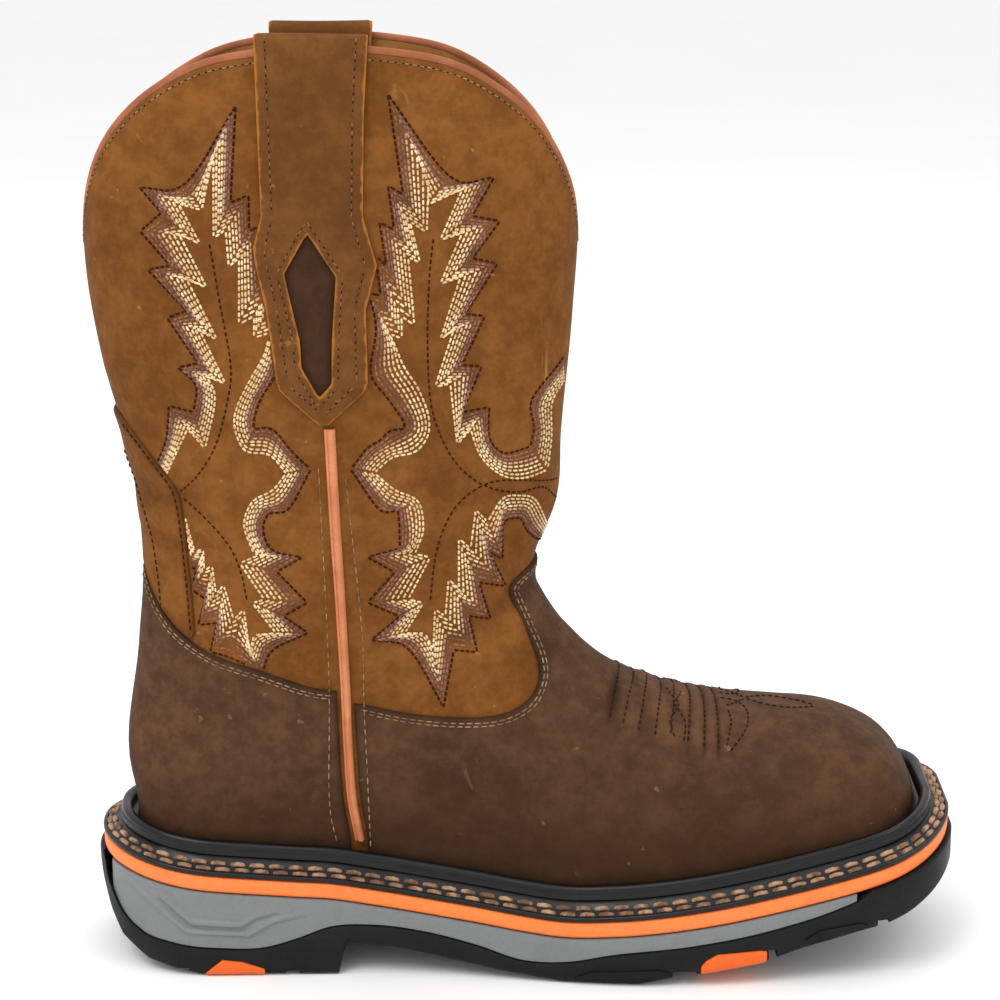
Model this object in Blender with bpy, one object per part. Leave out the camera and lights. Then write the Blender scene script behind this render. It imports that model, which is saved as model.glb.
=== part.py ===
"""A right western work boot: a pull-on upper with a decorated shaft on a welted, lugged sole.

X runs from heel to toe, +Y is the inner (medial) side of the foot and +Z is up. The origin is on the
floor, under the middle of the outsole. Each piece that a maker would put together is one object.
"""

import math

import bmesh
import bpy
import numpy as np
from mathutils import Vector
from mathutils.bvhtree import BVHTree

# Driving dimensions, in metres.
SOLE_LENGTH = 0.3145  # outsole, back of the heel to the tip of the toe
SOLE_WIDTH = 0.114  # outsole across the ball of the foot
HEEL_STACK = 0.0345  # floor to the foot of the coloured band, at the front of the heel
SHAFT_HEIGHT = 0.3255  # floor to the collar at the side seams
SHAFT_DEPTH = 0.1715  # shaft at its widest, front to back
SHAFT_WIDTH = 0.090  # shaft at the collar, side to side
SHAFT_BACK = -0.491  # the shaft's rearmost line, as a share of SOLE_LENGTH from the middle
COLLAR_DIP = 0.066  # how far the collar drops from the side seams to the front and back
INSTEP_HEIGHT = 0.108  # floor to the vamp's ridge where it meets the shaft
GAP = 0.0003  # clearance between pieces that touch

# Thicknesses.
WALL = 0.0021  # shaft leather with its lining
OVERLAY = 0.0013  # vamp, counter and back stay
STRAP = 0.0020
INLAY = 0.0008
BAND = 0.0057
FLANGE = 0.0070  # the welt's tongue under the upper
FOOTBED = 0.0045  # the insole above the welt's tongue

# How far each line lies inside the outsole's own outline.
MIDSOLE_INSET = 0.0012
EDGE_INSET = 0.0017  # band and welt
WELT_REACH = 0.0125  # welt, from its edge to the vamp
BEAD_RADIUS = 0.0021
VAMP_INSET = EDGE_INSET + WELT_REACH
UPPER_INSET = VAMP_INSET + OVERLAY + GAP
TONGUE_INSET = UPPER_INSET + 0.0060
FOOTBED_INSET = UPPER_INSET + WALL + 0.0034

# Outsole plan: half widths as shares of SOLE_WIDTH, before the ends are rounded.
# columns: along, lateral, medial
PLAN = (
    (0.00, 0.362, 0.355),
    (0.12, 0.370, 0.360),
    (0.22, 0.372, 0.354),
    (0.34, 0.382, 0.325),
    (0.43, 0.410, 0.328),
    (0.53, 0.458, 0.382),
    (0.62, 0.490, 0.455),
    (0.71, 0.500, 0.498),
    (0.80, 0.490, 0.500),
    (0.90, 0.470, 0.472),
    (1.00, 0.455, 0.448),
)
HEEL_ROUND, HEEL_POWER = 0.140, 2.15
TOE_ROUND, TOE_POWER = 0.149, 2.7
TOE_SKEW = 0.010  # the inner corner of the toe stands this far ahead of the middle

# Side view of the sole: heights as shares of HEEL_STACK.
# columns: along, midsole_foot, band_foot
LEVELS = (
    (0.000, 1.080, 1.100),
    (0.014, 0.860, 1.075),
    (0.030, 0.600, 1.050),
    (0.055, 0.420, 1.010),
    (0.090, 0.345, 0.960),
    (0.140, 0.300, 0.905),
    (0.200, 0.305, 0.860),
    (0.235, 0.400, 0.838),
    (0.270, 0.520, 0.818),
    (0.320, 0.545, 0.750),
    (0.380, 0.480, 0.665),
    (0.440, 0.350, 0.585),
    (0.485, 0.225, 0.525),
    (0.540, 0.225, 0.478),
    (0.590, 0.320, 0.500),
    (0.680, 0.430, 0.600),
    (0.760, 0.570, 0.735),
    (0.830, 0.750, 0.875),
    (0.880, 0.925, 0.985),
    (0.940, 1.110, 1.130),
    (1.000, 1.290, 1.310),
)
MIDSOLE_BACK, MIDSOLE_TIP = 0.014, 0.872  # where the midsole's visible side begins and ends
STEP = 0.004

# Underside of the outsole, in straight steps. columns: along, tread
TREAD = (
    (0.000, 0.980),
    (0.008, 0.720),
    (0.017, 0.500),
    (0.032, 0.275),
    (0.064, 0.105),
    (0.098, 0.045),
    (0.128, 0.000),
    (0.281, 0.000),
    (0.286, 0.230),
    (0.291, 0.370),
    (0.300, 0.335),
    (0.356, 0.270),
    (0.410, 0.175),
    (0.460, 0.085),
    (0.535, 0.000),
    (0.620, 0.000),
    (0.650, 0.065),
    (0.696, 0.127),
    (0.756, 0.224),
    (0.806, 0.380),
    (0.873, 0.540),
    (0.906, 0.600),
    (0.935, 0.675),
    (0.965, 0.790),
    (1.000, 0.960),
)

# Grooves across the tread between the lugs.
# columns: along, width (of SOLE_LENGTH), depth (of HEEL_STACK)
GROOVES = (
    (0.105, 0.012, 0.040),
    (0.228, 0.016, 0.055),
    (0.671, 0.028, 0.070),
    (0.770, 0.010, 0.120),
    (0.896, 0.014, 0.075),
)

# Coloured inserts and plain pads in the edge of the tread: side view, from the tread's own line.
# columns: along, height (of HEEL_STACK)
HEEL_INSERT = (
    (0.129, 0.0), (0.130, 0.035), (0.149, 0.175), (0.172, 0.150), (0.197, 0.070), (0.197, 0.0),
)
TOE_INSERT = (
    (0.691, 0.0), (0.6885, 0.095), (0.694, 0.155), (0.707, 0.205), (0.755, 0.160), (0.763, 0.130),
    (0.763, 0.0),
)
PADS = (
    (
        (0.550, 0.0), (0.546, 0.060), (0.564, 0.139), (0.593, 0.152), (0.642, 0.135), (0.652, 0.085),
        (0.645, 0.0),
    ),
    (
        (0.812, 0.0), (0.807, 0.110), (0.823, 0.165), (0.868, 0.115), (0.880, 0.060), (0.875, 0.0),
    ),
)
PAD_RISE, INSERT_RISE = 0.0007, 0.0006
INSERT_DEPTH = 0.013

# Ribs on the midsole's heel, in side view. columns: along, height (of HEEL_STACK)
RIBS = (
    (
        (0.036, 0.960), (0.080, 0.690), (0.108, 0.485), (0.180, 0.445), (0.209, 0.600),
        (0.255, 0.690),
    ),
    (
        (0.080, 0.840), (0.114, 0.580), (0.172, 0.550), (0.187, 0.640), (0.212, 0.705),
    ),
)
RIB_WIDTH = 0.0017
RIB_RISE = 0.0008

# Foot of the upper. columns: along the sole, ridge (share of INSTEP_HEIGHT), rounding (of SOLE_WIDTH)
FOOT = (
    (0.00, 1.20, 0.30),
    (0.40, 1.20, 0.31),
    (0.50, 1.13, 0.34),
    (0.56, 1.025, 0.36),
    (0.61, 0.930, 0.37),
    (0.67, 0.858, 0.38),
    (0.73, 0.812, 0.38),
    (0.79, 0.790, 0.370),
    (0.85, 0.766, 0.340),
    (0.90, 0.728, 0.318),
    (1.00, 0.610, 0.310),
)
FOOT_POWER = 2.15
DEPTH_POWER, DEPTH_SHARE = 6.0, 1.178  # the share makes a straight edge count as itself
SIDE_BULGE, BULGE_FROM, BULGE_TO = 0.0038, 0.0030, 0.026

# Shaft. columns: height (share of SHAFT_HEIGHT), back and front (shares of SHAFT_DEPTH from
# SHAFT_BACK), width (share of SHAFT_WIDTH)
SHAFT = (
    (0.098, 0.098, 0.880, 0.54),
    (0.195, 0.094, 0.905, 0.61),
    (0.283, 0.088, 0.930, 0.68),
    (0.351, 0.090, 0.935, 0.735),
    (0.410, 0.102, 0.908, 0.765),
    (0.449, 0.106, 0.918, 0.790),
    (0.507, 0.096, 0.960, 0.830),
    (0.585, 0.070, 0.972, 0.885),
    (0.654, 0.034, 0.982, 0.930),
    (0.722, 0.012, 0.992, 0.965),
    (0.800, 0.000, 1.003, 0.990),
    (0.878, 0.006, 0.996, 1.000),
    (1.000, 0.024, 0.985, 1.000),
)
SHAFT_POWER = 2.4
HEEL_BLEND, INSTEP_BLEND = 0.004, 0.010

# Collar line. columns: place from the front or back (0) to the side seam (1), share of COLLAR_DIP
COLLAR = (
    (0.00, 0.00),
    (0.08, 0.006),
    (0.19, 0.085),
    (0.30, 0.235),
    (0.47, 0.455),
    (0.63, 0.65),
    (0.77, 0.81),
    (0.88, 0.924),
    (1.00, 1.00),
)

# Rings of the upper's surface.
CLOSED_UNDER = 0.030  # the closed form's floor, under the upper's lower edge
AROUND = 32
TOE_CENTRE = (0.3116, 0.174)  # shares of SOLE_LENGTH and of SHAFT_HEIGHT
TOE_FAN = (16, 33, 49, 64, 78)  # degrees off the toe's axis
FOOT_RINGS = 2
PIVOT = (0.178, 0.510)  # the fan of sections round the ankle turns about this point, in the same shares
FAN_LOW = (0, 0.30, 0.56, 0.79)  # shares of the turn from upright to the corner of the heel
FAN_HIGH = (0, 0.17, 0.35, 0.53, 0.76, 1)  # and of the rest, up to level
FAN_REACH = (0.343, 0.385)  # of SOLE_LENGTH, from the pivot to the middle of the first and last section
SHAFT_RINGS = 6
SHAFT_STRETCH = 1.8  # gathers the points at the narrow ends of the oval

# Edges of the overlays in side view: shares of SOLE_LENGTH from the middle, and of SHAFT_HEIGHT.
VAMP_EDGE = (
    (-0.1850, 0.020),
    (-0.1850, 0.135),
    (-0.1925, 0.190),
    (-0.1962, 0.250),
    (-0.1985, 0.303),
    (-0.1380, 0.289),
    (-0.0810, 0.283),
    (-0.0360, 0.285),
    (-0.0055, 0.298),
    (0.0085, 0.317),
    (0.0095, 0.340),
    (-0.0075, 0.381),
    (-0.0230, 0.417),
    (-0.0150, 0.431),
    (0.0060, 0.442),
    (0.0400, 0.462),
    (0.7000, 0.462),
    (0.7000, 0.020),
)
COUNTER_EDGE = (
    (-0.2040, 0.020),
    (-0.2040, 0.130),
    (-0.2118, 0.190),
    (-0.2155, 0.250),
    (-0.2175, 0.317),
    (-0.2498, 0.322),
    (-0.3030, 0.340),
    (-0.3520, 0.355),
    (-0.3900, 0.376),
    (-0.4115, 0.398),
    (-0.4240, 0.420),
    (-0.4380, 0.452),
    (-0.6000, 0.480),
    (-0.6000, 0.020),
)
STAY_EDGE = (
    (-0.6000, 0.4815),
    (-0.4380, 0.4538),
    (-0.4235, 0.4218),
    (-0.4105, 0.3995),
    (-0.3890, 0.3780),
    (-0.3740, 0.3700),
    (-0.3790, 0.4520),
    (-0.3880, 0.5320),
    (-0.4150, 0.5730),
    (-0.4550, 0.6150),
    (-0.6000, 0.6400),
)

# Pull straps: outline in side view, from the collar down to the tip.
# columns: height (share of SHAFT_HEIGHT), back and front edges (shares of SHAFT_DEPTH from SHAFT_BACK)
STRAP_OUTLINE = (
    (1.017, 0.367, 0.584),
    (0.934, 0.370, 0.574),
    (0.836, 0.374, 0.570),
    (0.804, 0.357, 0.586),
    (0.786, 0.361, 0.596),
    (0.740, 0.379, 0.573),
    (0.663, 0.397, 0.575),
    (0.654, 0.402, 0.570),
    (0.618, 0.477, 0.497),
)
STRAP_TAIL = 0.052  # the leg inside the shaft
STRAP_FOLD = 0.00285  # radius of the fold over the collar
STRAP_ACROSS = 5
WINDOW = (
    (0.417, 0.777), (0.462, 0.818), (0.515, 0.774), (0.505, 0.707),
    (0.503, 0.662), (0.479, 0.648), (0.447, 0.679), (0.445, 0.707),
)

CORD_WIDTH, CORD_HEIGHT = 0.0023, 0.0030

# Side seam piping. columns: height (of SHAFT_HEIGHT), along (of SOLE_LENGTH, from the middle)
SEAM = (
    (0.140, -0.1945),
    (0.190, -0.2022),
    (0.250, -0.2058),
    (0.326, -0.2078),
    (0.410, -0.2112),
    (0.530, -0.2166),
    (0.6125, -0.2195),
)
SEAM_WIDTH, SEAM_RISE = 0.0034, 0.0024
STATIONS = 32


def curve(rows, column, scale=1.0):
    """A smooth curve through one column of a table, as a function of the first column."""
    at = np.array([row[0] for row in rows], float)
    value = np.array([row[column] for row in rows], float) * scale
    slope = np.gradient(value, at)

    def read(x):
        x = np.clip(np.asarray(x, float), at[0], at[-1])
        i = np.clip(np.searchsorted(at, x) - 1, 0, len(at) - 2)
        step = at[i + 1] - at[i]
        t = (x - at[i]) / step
        start, end = value[i], value[i + 1]
        early = slope[i] * step - (end - start)
        late = (end - start) - slope[i + 1] * step
        return start + (end - start) * t + t * (1 - t) * ((1 - t) * early + t * late)

    return read


def smoothstep(low, high, x):
    t = np.clip((x - low) / (high - low), 0, 1)
    return t * t * (3 - 2 * t)


def share(x):
    """Place along the sole, from 0 at the heel to 1 at the toe."""
    return np.clip(np.asarray(x) / SOLE_LENGTH + 0.5, 0, 1)


LATERAL = curve(PLAN, 1, SOLE_WIDTH)
MEDIAL = curve(PLAN, 2, SOLE_WIDTH)
MIDSOLE_FOOT = curve(LEVELS, 1, HEEL_STACK)
BAND_FOOT = curve(LEVELS, 2, HEEL_STACK)
RIDGE = curve(FOOT, 1, INSTEP_HEIGHT)
ROUNDING = curve(FOOT, 2, SOLE_WIDTH)
BACK = curve(SHAFT, 1, SHAFT_DEPTH)
FRONT = curve(SHAFT, 2, SHAFT_DEPTH)
BREADTH = curve(SHAFT, 3, SHAFT_WIDTH / 2)
COLLAR_LINE = curve(COLLAR, 1, COLLAR_DIP)
SEAM_LINE = curve(SEAM, 1, SOLE_LENGTH)


TREAD_STEPS = tuple(row[0] for row in TREAD) + (MIDSOLE_TIP, MIDSOLE_TIP + STEP)


def tread(x):
    rows = np.array(TREAD)
    return np.interp(share(x), rows[:, 0], rows[:, 1]) * HEEL_STACK


def midsole_foot(x):
    return MIDSOLE_FOOT(share(x))


def band_foot(x):
    return BAND_FOOT(share(x))


def band_top(x):
    return band_foot(x) + BAND


def feather(x):
    """Height of the upper's lower edge, just over the welt's tongue."""
    return band_top(x) + FLANGE + 3 * GAP


def outsole_top(x):
    """Top of the outsole: under the midsole, and up to the band behind and ahead of it."""
    turns = (MIDSOLE_BACK - STEP, MIDSOLE_BACK, MIDSOLE_TIP, MIDSOLE_TIP + STEP)
    under = np.interp(share(x), turns, (0, 1, 1, 0))
    return under * midsole_foot(x) + (1 - under) * band_foot(x) - GAP


def stations(steps):
    """Places along the sole, closer together where its ends turn."""
    turns = np.cos(np.linspace(0.06, math.pi / 2, 9))
    heel = (1 - turns ** (2 / HEEL_POWER)) * HEEL_ROUND
    toe = 1 - (1 - turns ** (2 / TOE_POWER)) * TOE_ROUND
    middle = np.linspace(HEEL_ROUND, 1 - TOE_ROUND, STATIONS - 16)[1:-1]
    places = [*heel, *middle, *toe]
    for needed in steps:
        if places[0] < needed < toe[0]:
            places = [along for along in places if abs(along - needed) > 0.007 or along in steps]
            places.append(needed)
    return np.array(sorted(places))


def end_rounding(along):
    """Share of the sole's half width that is left where its heel and toe round off."""
    heel = np.clip(along / HEEL_ROUND, 0, 1)
    toe = np.clip((1 - along) / TOE_ROUND, 0, 1)
    heel = (1 - (1 - heel) ** HEEL_POWER) ** (1 / HEEL_POWER)
    toe = (1 - (1 - toe) ** TOE_POWER) ** (1 / TOE_POWER)
    return heel * toe


def outline(inset=0.0, first=0.0, last=1.0, steps=()):
    """The sole's plan as lateral and medial points from heel to toe, moved in by inset."""
    along = stations(steps)
    closing = end_rounding(along)
    skew = TOE_SKEW * SOLE_LENGTH * smoothstep(MIDSOLE_TIP + STEP, 1.0, along) * closing
    x = (along - 0.5) * SOLE_LENGTH
    lateral = np.stack([x - skew, -LATERAL(along) * closing], 1)
    medial = np.stack([x + skew, MEDIAL(along) * closing], 1)
    loop = np.concatenate([lateral, medial[::-1]])
    before, after = np.roll(loop, 1, 0), np.roll(loop, -1, 0)
    tangent = (after - before) / np.linalg.norm(after - before, axis=1)[:, None]
    loop = loop + np.stack([-tangent[:, 1], tangent[:, 0]], 1) * inset
    keep = (along >= first) & (along <= last)
    return loop[: len(x)][keep], loop[len(x) :][::-1][keep]


def plan_depth(loop):
    """How far a plan point lies inside a closed outline; negative outside.

    Deep inside it turns into a soft average, so that the toe's corners leave no crease.
    """
    start, end = loop, np.roll(loop, -1, 0)
    edge = end - start
    spots = np.concatenate([start + edge * t for t in (1 / 6, 1 / 2, 5 / 6)])
    weight = np.tile(np.linalg.norm(edge, axis=1) / 3, 3)

    def read(x, y):
        point = np.stack([x, y], -1)[..., None, :]
        t = np.clip(((point - start) * edge).sum(-1) / (edge * edge).sum(-1), 0, 1)
        gap = point - (start + t[..., None] * edge)
        distance = np.sqrt((gap * gap).sum(-1)).min(-1)
        crosses = (start[:, 1] > y[..., None]) != (end[:, 1] > y[..., None])
        rise = np.where(edge[:, 1] == 0, 1e-12, edge[:, 1])
        side = x[..., None] < start[:, 0] + (y[..., None] - start[:, 1]) * edge[:, 0] / rise
        inside = (crosses & side).sum(-1) % 2 == 1
        away = np.linalg.norm(point - spots, axis=-1)
        pull = (weight * away**-DEPTH_POWER).sum(-1) / DEPTH_SHARE
        soft = pull ** (-1 / (DEPTH_POWER - 1))
        soft = distance + (soft - distance) * smoothstep(0.002, 0.014, distance)
        return np.where(inside, soft, -distance)

    return read


LATERAL_FOOT, MEDIAL_FOOT = outline(UPPER_INSET)
FOOT_PLAN = plan_depth(np.concatenate([LATERAL_FOOT, MEDIAL_FOOT[::-1]]))


def foot_form(x, y, z):
    """Below zero inside the foot of the upper."""
    rise = z - feather(x)
    depth = FOOT_PLAN(x, y) + SIDE_BULGE * smoothstep(BULGE_FROM, BULGE_TO, rise)
    side = np.maximum(1 - depth / ROUNDING(share(x)), 0)
    height = np.maximum(rise, 0) / (RIDGE(share(x)) - feather(x))
    return ((side**FOOT_POWER + height**FOOT_POWER) ** (1 / FOOT_POWER) - 1) * 0.3 * SOLE_WIDTH


def shaft_form(x, y, z):
    """Below zero inside the shaft; it gives way to the foot near the welt."""
    level = z / SHAFT_HEIGHT
    half = (FRONT(level) - BACK(level)) / 2
    middle = SHAFT_BACK * SOLE_LENGTH + (FRONT(level) + BACK(level)) / 2
    reach = np.abs((x - middle) / half) ** SHAFT_POWER + np.abs(y / BREADTH(level)) ** SHAFT_POWER
    above = smoothstep(0.002, 0.030, z - feather(x))
    return (reach ** (1 / SHAFT_POWER) - 1) * BREADTH(level) + 0.012 * (1 - above)


def upper_form(points):
    """Foot and shaft with a soft join between them: below zero inside."""
    x, y, z = points[..., 0], points[..., 1], points[..., 2]
    foot, shaft = foot_form(x, y, z), shaft_form(x, y, z)
    blend = HEEL_BLEND + (INSTEP_BLEND - HEEL_BLEND) * smoothstep(-0.19 * SOLE_LENGTH, 0, x)
    blend = 0.0005 + blend * smoothstep(0.004, 0.030, z - feather(x))
    meet = np.maximum(blend - np.abs(foot - shaft), 0)
    return np.minimum(foot, shaft) - meet * meet / (4 * blend)


def closed_form(points):
    """The same, closed a little under the upper's lower edge."""
    return np.maximum(upper_form(points), feather(points[..., 0]) - CLOSED_UNDER - points[..., 2])


def surface(origins, directions, form=closed_form):
    """Where rays from inside the form leave it."""
    directions = directions / np.linalg.norm(directions, axis=-1)[..., None]
    near = np.zeros(origins.shape[:-1])
    open_rays = np.ones(near.shape, bool)
    for _ in range(60):
        outside = form(origins + directions * (near + 0.004)[..., None]) > 0
        open_rays &= ~outside
        near = np.where(open_rays, near + 0.004, near)
    far = near + 0.004
    for _ in range(16):
        middle = (near + far) / 2
        outside = form(origins + directions * middle[..., None]) > 0
        near, far = np.where(outside, near, middle), np.where(outside, middle, far)
    return origins + directions * near[..., None]


def outward(points):
    """Direction away from the upper's surface, and down as well on the closed form's floor."""
    slope = np.zeros(points.shape)
    for axis in range(3):
        step = np.zeros(3)
        step[axis] = 0.0006
        slope[..., axis] = upper_form(points + step) - upper_form(points - step)
    slope /= np.linalg.norm(slope, axis=-1)[..., None] + 1e-12
    inner = (upper_form(points) < -0.0008)[..., None]
    floor = (points[..., 2] < feather(points[..., 0]) - CLOSED_UNDER + 0.0002)[..., None]
    slope = np.where(floor & inner, 0.0, slope)
    return slope + np.where(floor, np.array([0.0, 0.0, -1.0]), 0.0)


def collar_height(turn):
    return SHAFT_HEIGHT - COLLAR_DIP + COLLAR_LINE(np.abs(np.sin(turn)))


def fan_angles(pivot):
    """Degrees of each section round the ankle, so that one passes just under the heel's lower edge."""
    heel = -0.5 * SOLE_LENGTH + UPPER_INSET
    drop = pivot[2] - float(feather(heel)) + 0.2 * CLOSED_UNDER
    corner = math.degrees(math.atan2(pivot[0] - heel, drop))
    return [corner * a for a in FAN_LOW] + [corner + (90 - corner) * a for a in FAN_HIGH]


def rings():
    """The upper's outer surface: the tip of the toe, then rings of points from toe to collar.

    Point 0 of each ring lies under the foot or at the back of the shaft, and the points go round by
    the lateral side.
    """
    turn = np.arange(AROUND) * 2 * math.pi / AROUND
    down, side = np.cos(turn), -np.sin(turn)
    toe = np.array([TOE_CENTRE[0] * SOLE_LENGTH, 0.0, TOE_CENTRE[1] * SHAFT_HEIGHT])
    pivot = np.array([PIVOT[0] * SOLE_LENGTH, 0.0, PIVOT[1] * SHAFT_HEIGHT])
    reach = np.array(FAN_REACH) * SOLE_LENGTH
    origins, directions = [], []

    def add(centre, away, stretch=1.0):
        origins.append(np.broadcast_to(centre, (AROUND, 3)))
        across = side[:, None] * np.array([0.0, 1.0, 0.0])
        directions.append(down[:, None] * np.array(away) * stretch + across)

    for angle in TOE_FAN:
        a = math.radians(angle)
        ahead = np.full(AROUND, math.cos(a))
        origins.append(np.broadcast_to(toe, (AROUND, 3)))
        directions.append(np.stack([ahead, math.sin(a) * side, -math.sin(a) * down], 1))
    start = pivot + np.array([0.0, 0.0, -reach[0]])
    for i in range(FOOT_RINGS + 1):
        add(toe + (start - toe) * i / (FOOT_RINGS + 1), (0.0, 0.0, -1.0))
    for angle in fan_angles(pivot):
        a = math.radians(angle)
        away = (-math.sin(a), 0.0, -math.cos(a))
        stretch = 1 + (SHAFT_STRETCH - 1) * smoothstep(10, 60, angle)
        add(pivot + np.array(away) * (reach[0] + (reach[1] - reach[0]) * angle / 90), away, stretch)
    for i in range(1, SHAFT_RINGS + 1):
        height = pivot[2] + (collar_height(turn) - pivot[2]) * i / SHAFT_RINGS
        level = height / SHAFT_HEIGHT
        middle = SHAFT_BACK * SOLE_LENGTH + (FRONT(level) + BACK(level)) / 2
        origins.append(np.stack([middle, 0 * middle, height], 1))
        directions.append(np.stack([-down * SHAFT_STRETCH, side, 0 * side], 1))
    tip = surface(toe[None], np.array([[1.0, 0.0, 0.0]]))[0]
    return tip, surface(np.array(origins), np.array(directions))


def in_collection(name):
    collection = bpy.data.collections.new(name)
    bpy.context.scene.collection.children.link(collection)
    return collection


def finish(mesh_data, name, material=None, cutter=False):
    """One closed object from a bmesh."""
    bmesh.ops.recalc_face_normals(mesh_data, faces=mesh_data.faces)
    mesh = bpy.data.meshes.new(name)
    mesh_data.to_mesh(mesh)
    mesh_data.free()
    obj = bpy.data.objects.new(name, mesh)
    if cutter:
        cutters.objects.link(obj)
        obj.hide_render = True
        obj.display_type = "WIRE"
    else:
        boot.objects.link(obj)
        mesh.materials.append(material)
    return obj


def stitched_grid(mesh_data, grid, wrap, flip=False, turned=()):
    """Triangles over one grid of points; diagonals of the turned columns run the other way."""
    vertices = [[mesh_data.verts.new(point) for point in row] for row in grid]
    columns = len(vertices[0])
    for i in range(len(vertices) - 1):
        for j in range(columns if wrap else columns - 1):
            k = (j + 1) % columns
            a, b, c, d = vertices[i][j], vertices[i][k], vertices[i + 1][k], vertices[i + 1][j]
            halves = [(a, b, c), (a, c, d)] if j in turned else [(a, b, d), (b, c, d)]
            for half in halves:
                mesh_data.faces.new(half[::-1] if flip else half)
    return vertices


def slab(name, outer, inner, material, wrap=False, tips=None, cutter=False, turned=()):
    """A solid between two grids of points; with tips, the first row closes on a point."""
    data = bmesh.new()
    a = stitched_grid(data, outer, wrap, False, turned)
    b = stitched_grid(data, inner, wrap, True, turned)
    columns = len(a[0])
    span = range(columns if wrap else columns - 1)
    ends = [len(a) - 1] if tips is not None else [0, len(a) - 1]
    for i in ends:
        for j in span:
            k = (j + 1) % columns
            data.faces.new([a[i][j], a[i][k], b[i][k], b[i][j]])
    if not wrap:
        for j in (0, columns - 1):
            for i in range(len(a) - 1):
                data.faces.new([a[i][j], a[i + 1][j], b[i + 1][j], b[i][j]])
    if tips is not None:
        for point, first in zip(tips, (a[0], b[0])):
            tip = data.verts.new(point)
            for j in span:
                data.faces.new([tip, first[j], first[(j + 1) % columns]])
    return finish(data, name, material, cutter)


def plate(name, rows, material, first=0.0, last=1.0, cutter=False, steps=()):
    """A solid filling the sole's plan, from rows of (inset, height) that go up its edge."""
    data = bmesh.new()
    loops = []
    for inset, height in rows:
        lateral, medial = outline(inset, first, last, steps)
        sides = []
        for points in (lateral, medial):
            z = height(points[:, 0]) if callable(height) else np.full(len(points), height)
            sides.append([data.verts.new((p[0], p[1], q)) for p, q in zip(points, z)])
        loops.append(sides)
    count = len(loops[0][0])
    for (l0, m0), (l1, m1) in zip(loops, loops[1:]):
        a, b = l0 + m0[::-1], l1 + m1[::-1]
        for j in range(2 * count):
            k = (j + 1) % (2 * count)
            data.faces.new([a[j], a[k], b[k], b[j]])
    for lateral, medial in (loops[0], loops[-1]):
        for j in range(count - 1):
            data.faces.new([lateral[j], lateral[j + 1], medial[j + 1], medial[j]])
    return finish(data, name, material, cutter)


def ring_plate(name, rows, material):
    """A closed band that runs round the sole's plan, from rows of (inset, height) round its section."""
    grid = []
    for inset, height in rows:
        lateral, medial = outline(inset)
        loop = np.concatenate([lateral, medial[::-1]])
        grid.append(np.column_stack([loop, height(loop[:, 0])]))
    data = bmesh.new()
    stitched_grid(data, grid + [grid[0]], True)
    bmesh.ops.remove_doubles(data, verts=data.verts, dist=1e-6)
    return finish(data, name, material)


def prism(name, corners, near, far):
    """A cutter: a side-view outline (x, z) extruded across the boot."""
    data = bmesh.new()
    front = [data.verts.new((x, near, z)) for x, z in corners]
    face = data.faces.new(front)
    made = bmesh.ops.extrude_face_region(data, geom=[face])["geom"]
    moved = [item for item in made if isinstance(item, bmesh.types.BMVert)]
    bmesh.ops.translate(data, verts=moved, vec=(0, far - near, 0))
    return finish(data, name, cutter=True)


def grown(corners, by):
    """A polygon with its edges moved outwards."""
    points = np.array(corners, float)
    following = np.roll(points, -1, 0)
    if np.sum(points[:, 0] * following[:, 1] - following[:, 0] * points[:, 1]) < 0:
        by = -by
    before, after = points - np.roll(points, 1, 0), following - points
    n0 = np.stack([before[:, 1], -before[:, 0]], 1) / np.linalg.norm(before, axis=1)[:, None]
    n1 = np.stack([after[:, 1], -after[:, 0]], 1) / np.linalg.norm(after, axis=1)[:, None]
    middle = n0 + n1
    middle /= np.linalg.norm(middle, axis=1)[:, None]
    return points + middle * (by / np.maximum((middle * n0).sum(1), 0.4))[:, None]


def stripe(line, width):
    """A polygon of even width along a line of points."""
    points = np.array(line, float)
    slope = np.gradient(points, axis=0)
    slope /= np.linalg.norm(slope, axis=1)[:, None]
    across = np.stack([-slope[:, 1], slope[:, 0]], 1) * width / 2
    return np.concatenate([points + across, (points - across)[::-1]])


def combine(obj, other, operation):
    modifier = obj.modifiers.new(other.name, "BOOLEAN")
    modifier.operation = operation
    modifier.object = other
    modifier.solver = "EXACT"


def material(name, colour, roughness, metallic=0.0):
    made = bpy.data.materials.new(name)
    made.use_nodes = True
    shader = made.node_tree.nodes["Principled BSDF"]
    shader.inputs["Base Color"].default_value = (*colour, 1.0)
    shader.inputs["Roughness"].default_value = roughness
    shader.inputs["Metallic"].default_value = metallic
    return made


def side_points(edge):
    """A side-view outline given in shares, in metres."""
    return [(x * SOLE_LENGTH, z * SHAFT_HEIGHT) for x, z in edge]


def tread_points(shape):
    """A side-view outline whose heights start from the tread's own line."""
    points = []
    for along, height in shape:
        x = (along - 0.5) * SOLE_LENGTH
        base = float(tread(np.array(x)))
        points.append((x, base + height * HEEL_STACK if height > 0 else base - 0.004))
    return points


for old in list(bpy.data.objects):
    bpy.data.objects.remove(old, do_unlink=True)
boot = in_collection("western_work_boot")
cutters = in_collection("cutters")
cutters.hide_render = True

black_rubber = material("black_rubber", (0.012, 0.013, 0.014), 0.55)
grey_foam = material("grey_rubber", (0.17, 0.175, 0.18), 0.6)
orange_band = material("orange_band", (0.90, 0.20, 0.035), 0.5)
orange_insert = material("orange_insert", (0.80, 0.13, 0.008), 0.5)
shaft_leather = material("tan_leather", (0.20, 0.085, 0.022), 0.75)
vamp_leather = material("dark_brown_leather", (0.070, 0.035, 0.020), 0.75)
strap_leather = material("strap_leather", (0.17, 0.075, 0.024), 0.75)
edge_leather = material("salmon_piping", (0.55, 0.22, 0.10), 0.6)
board = material("insole_board", (0.16, 0.10, 0.05), 0.9)

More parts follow.
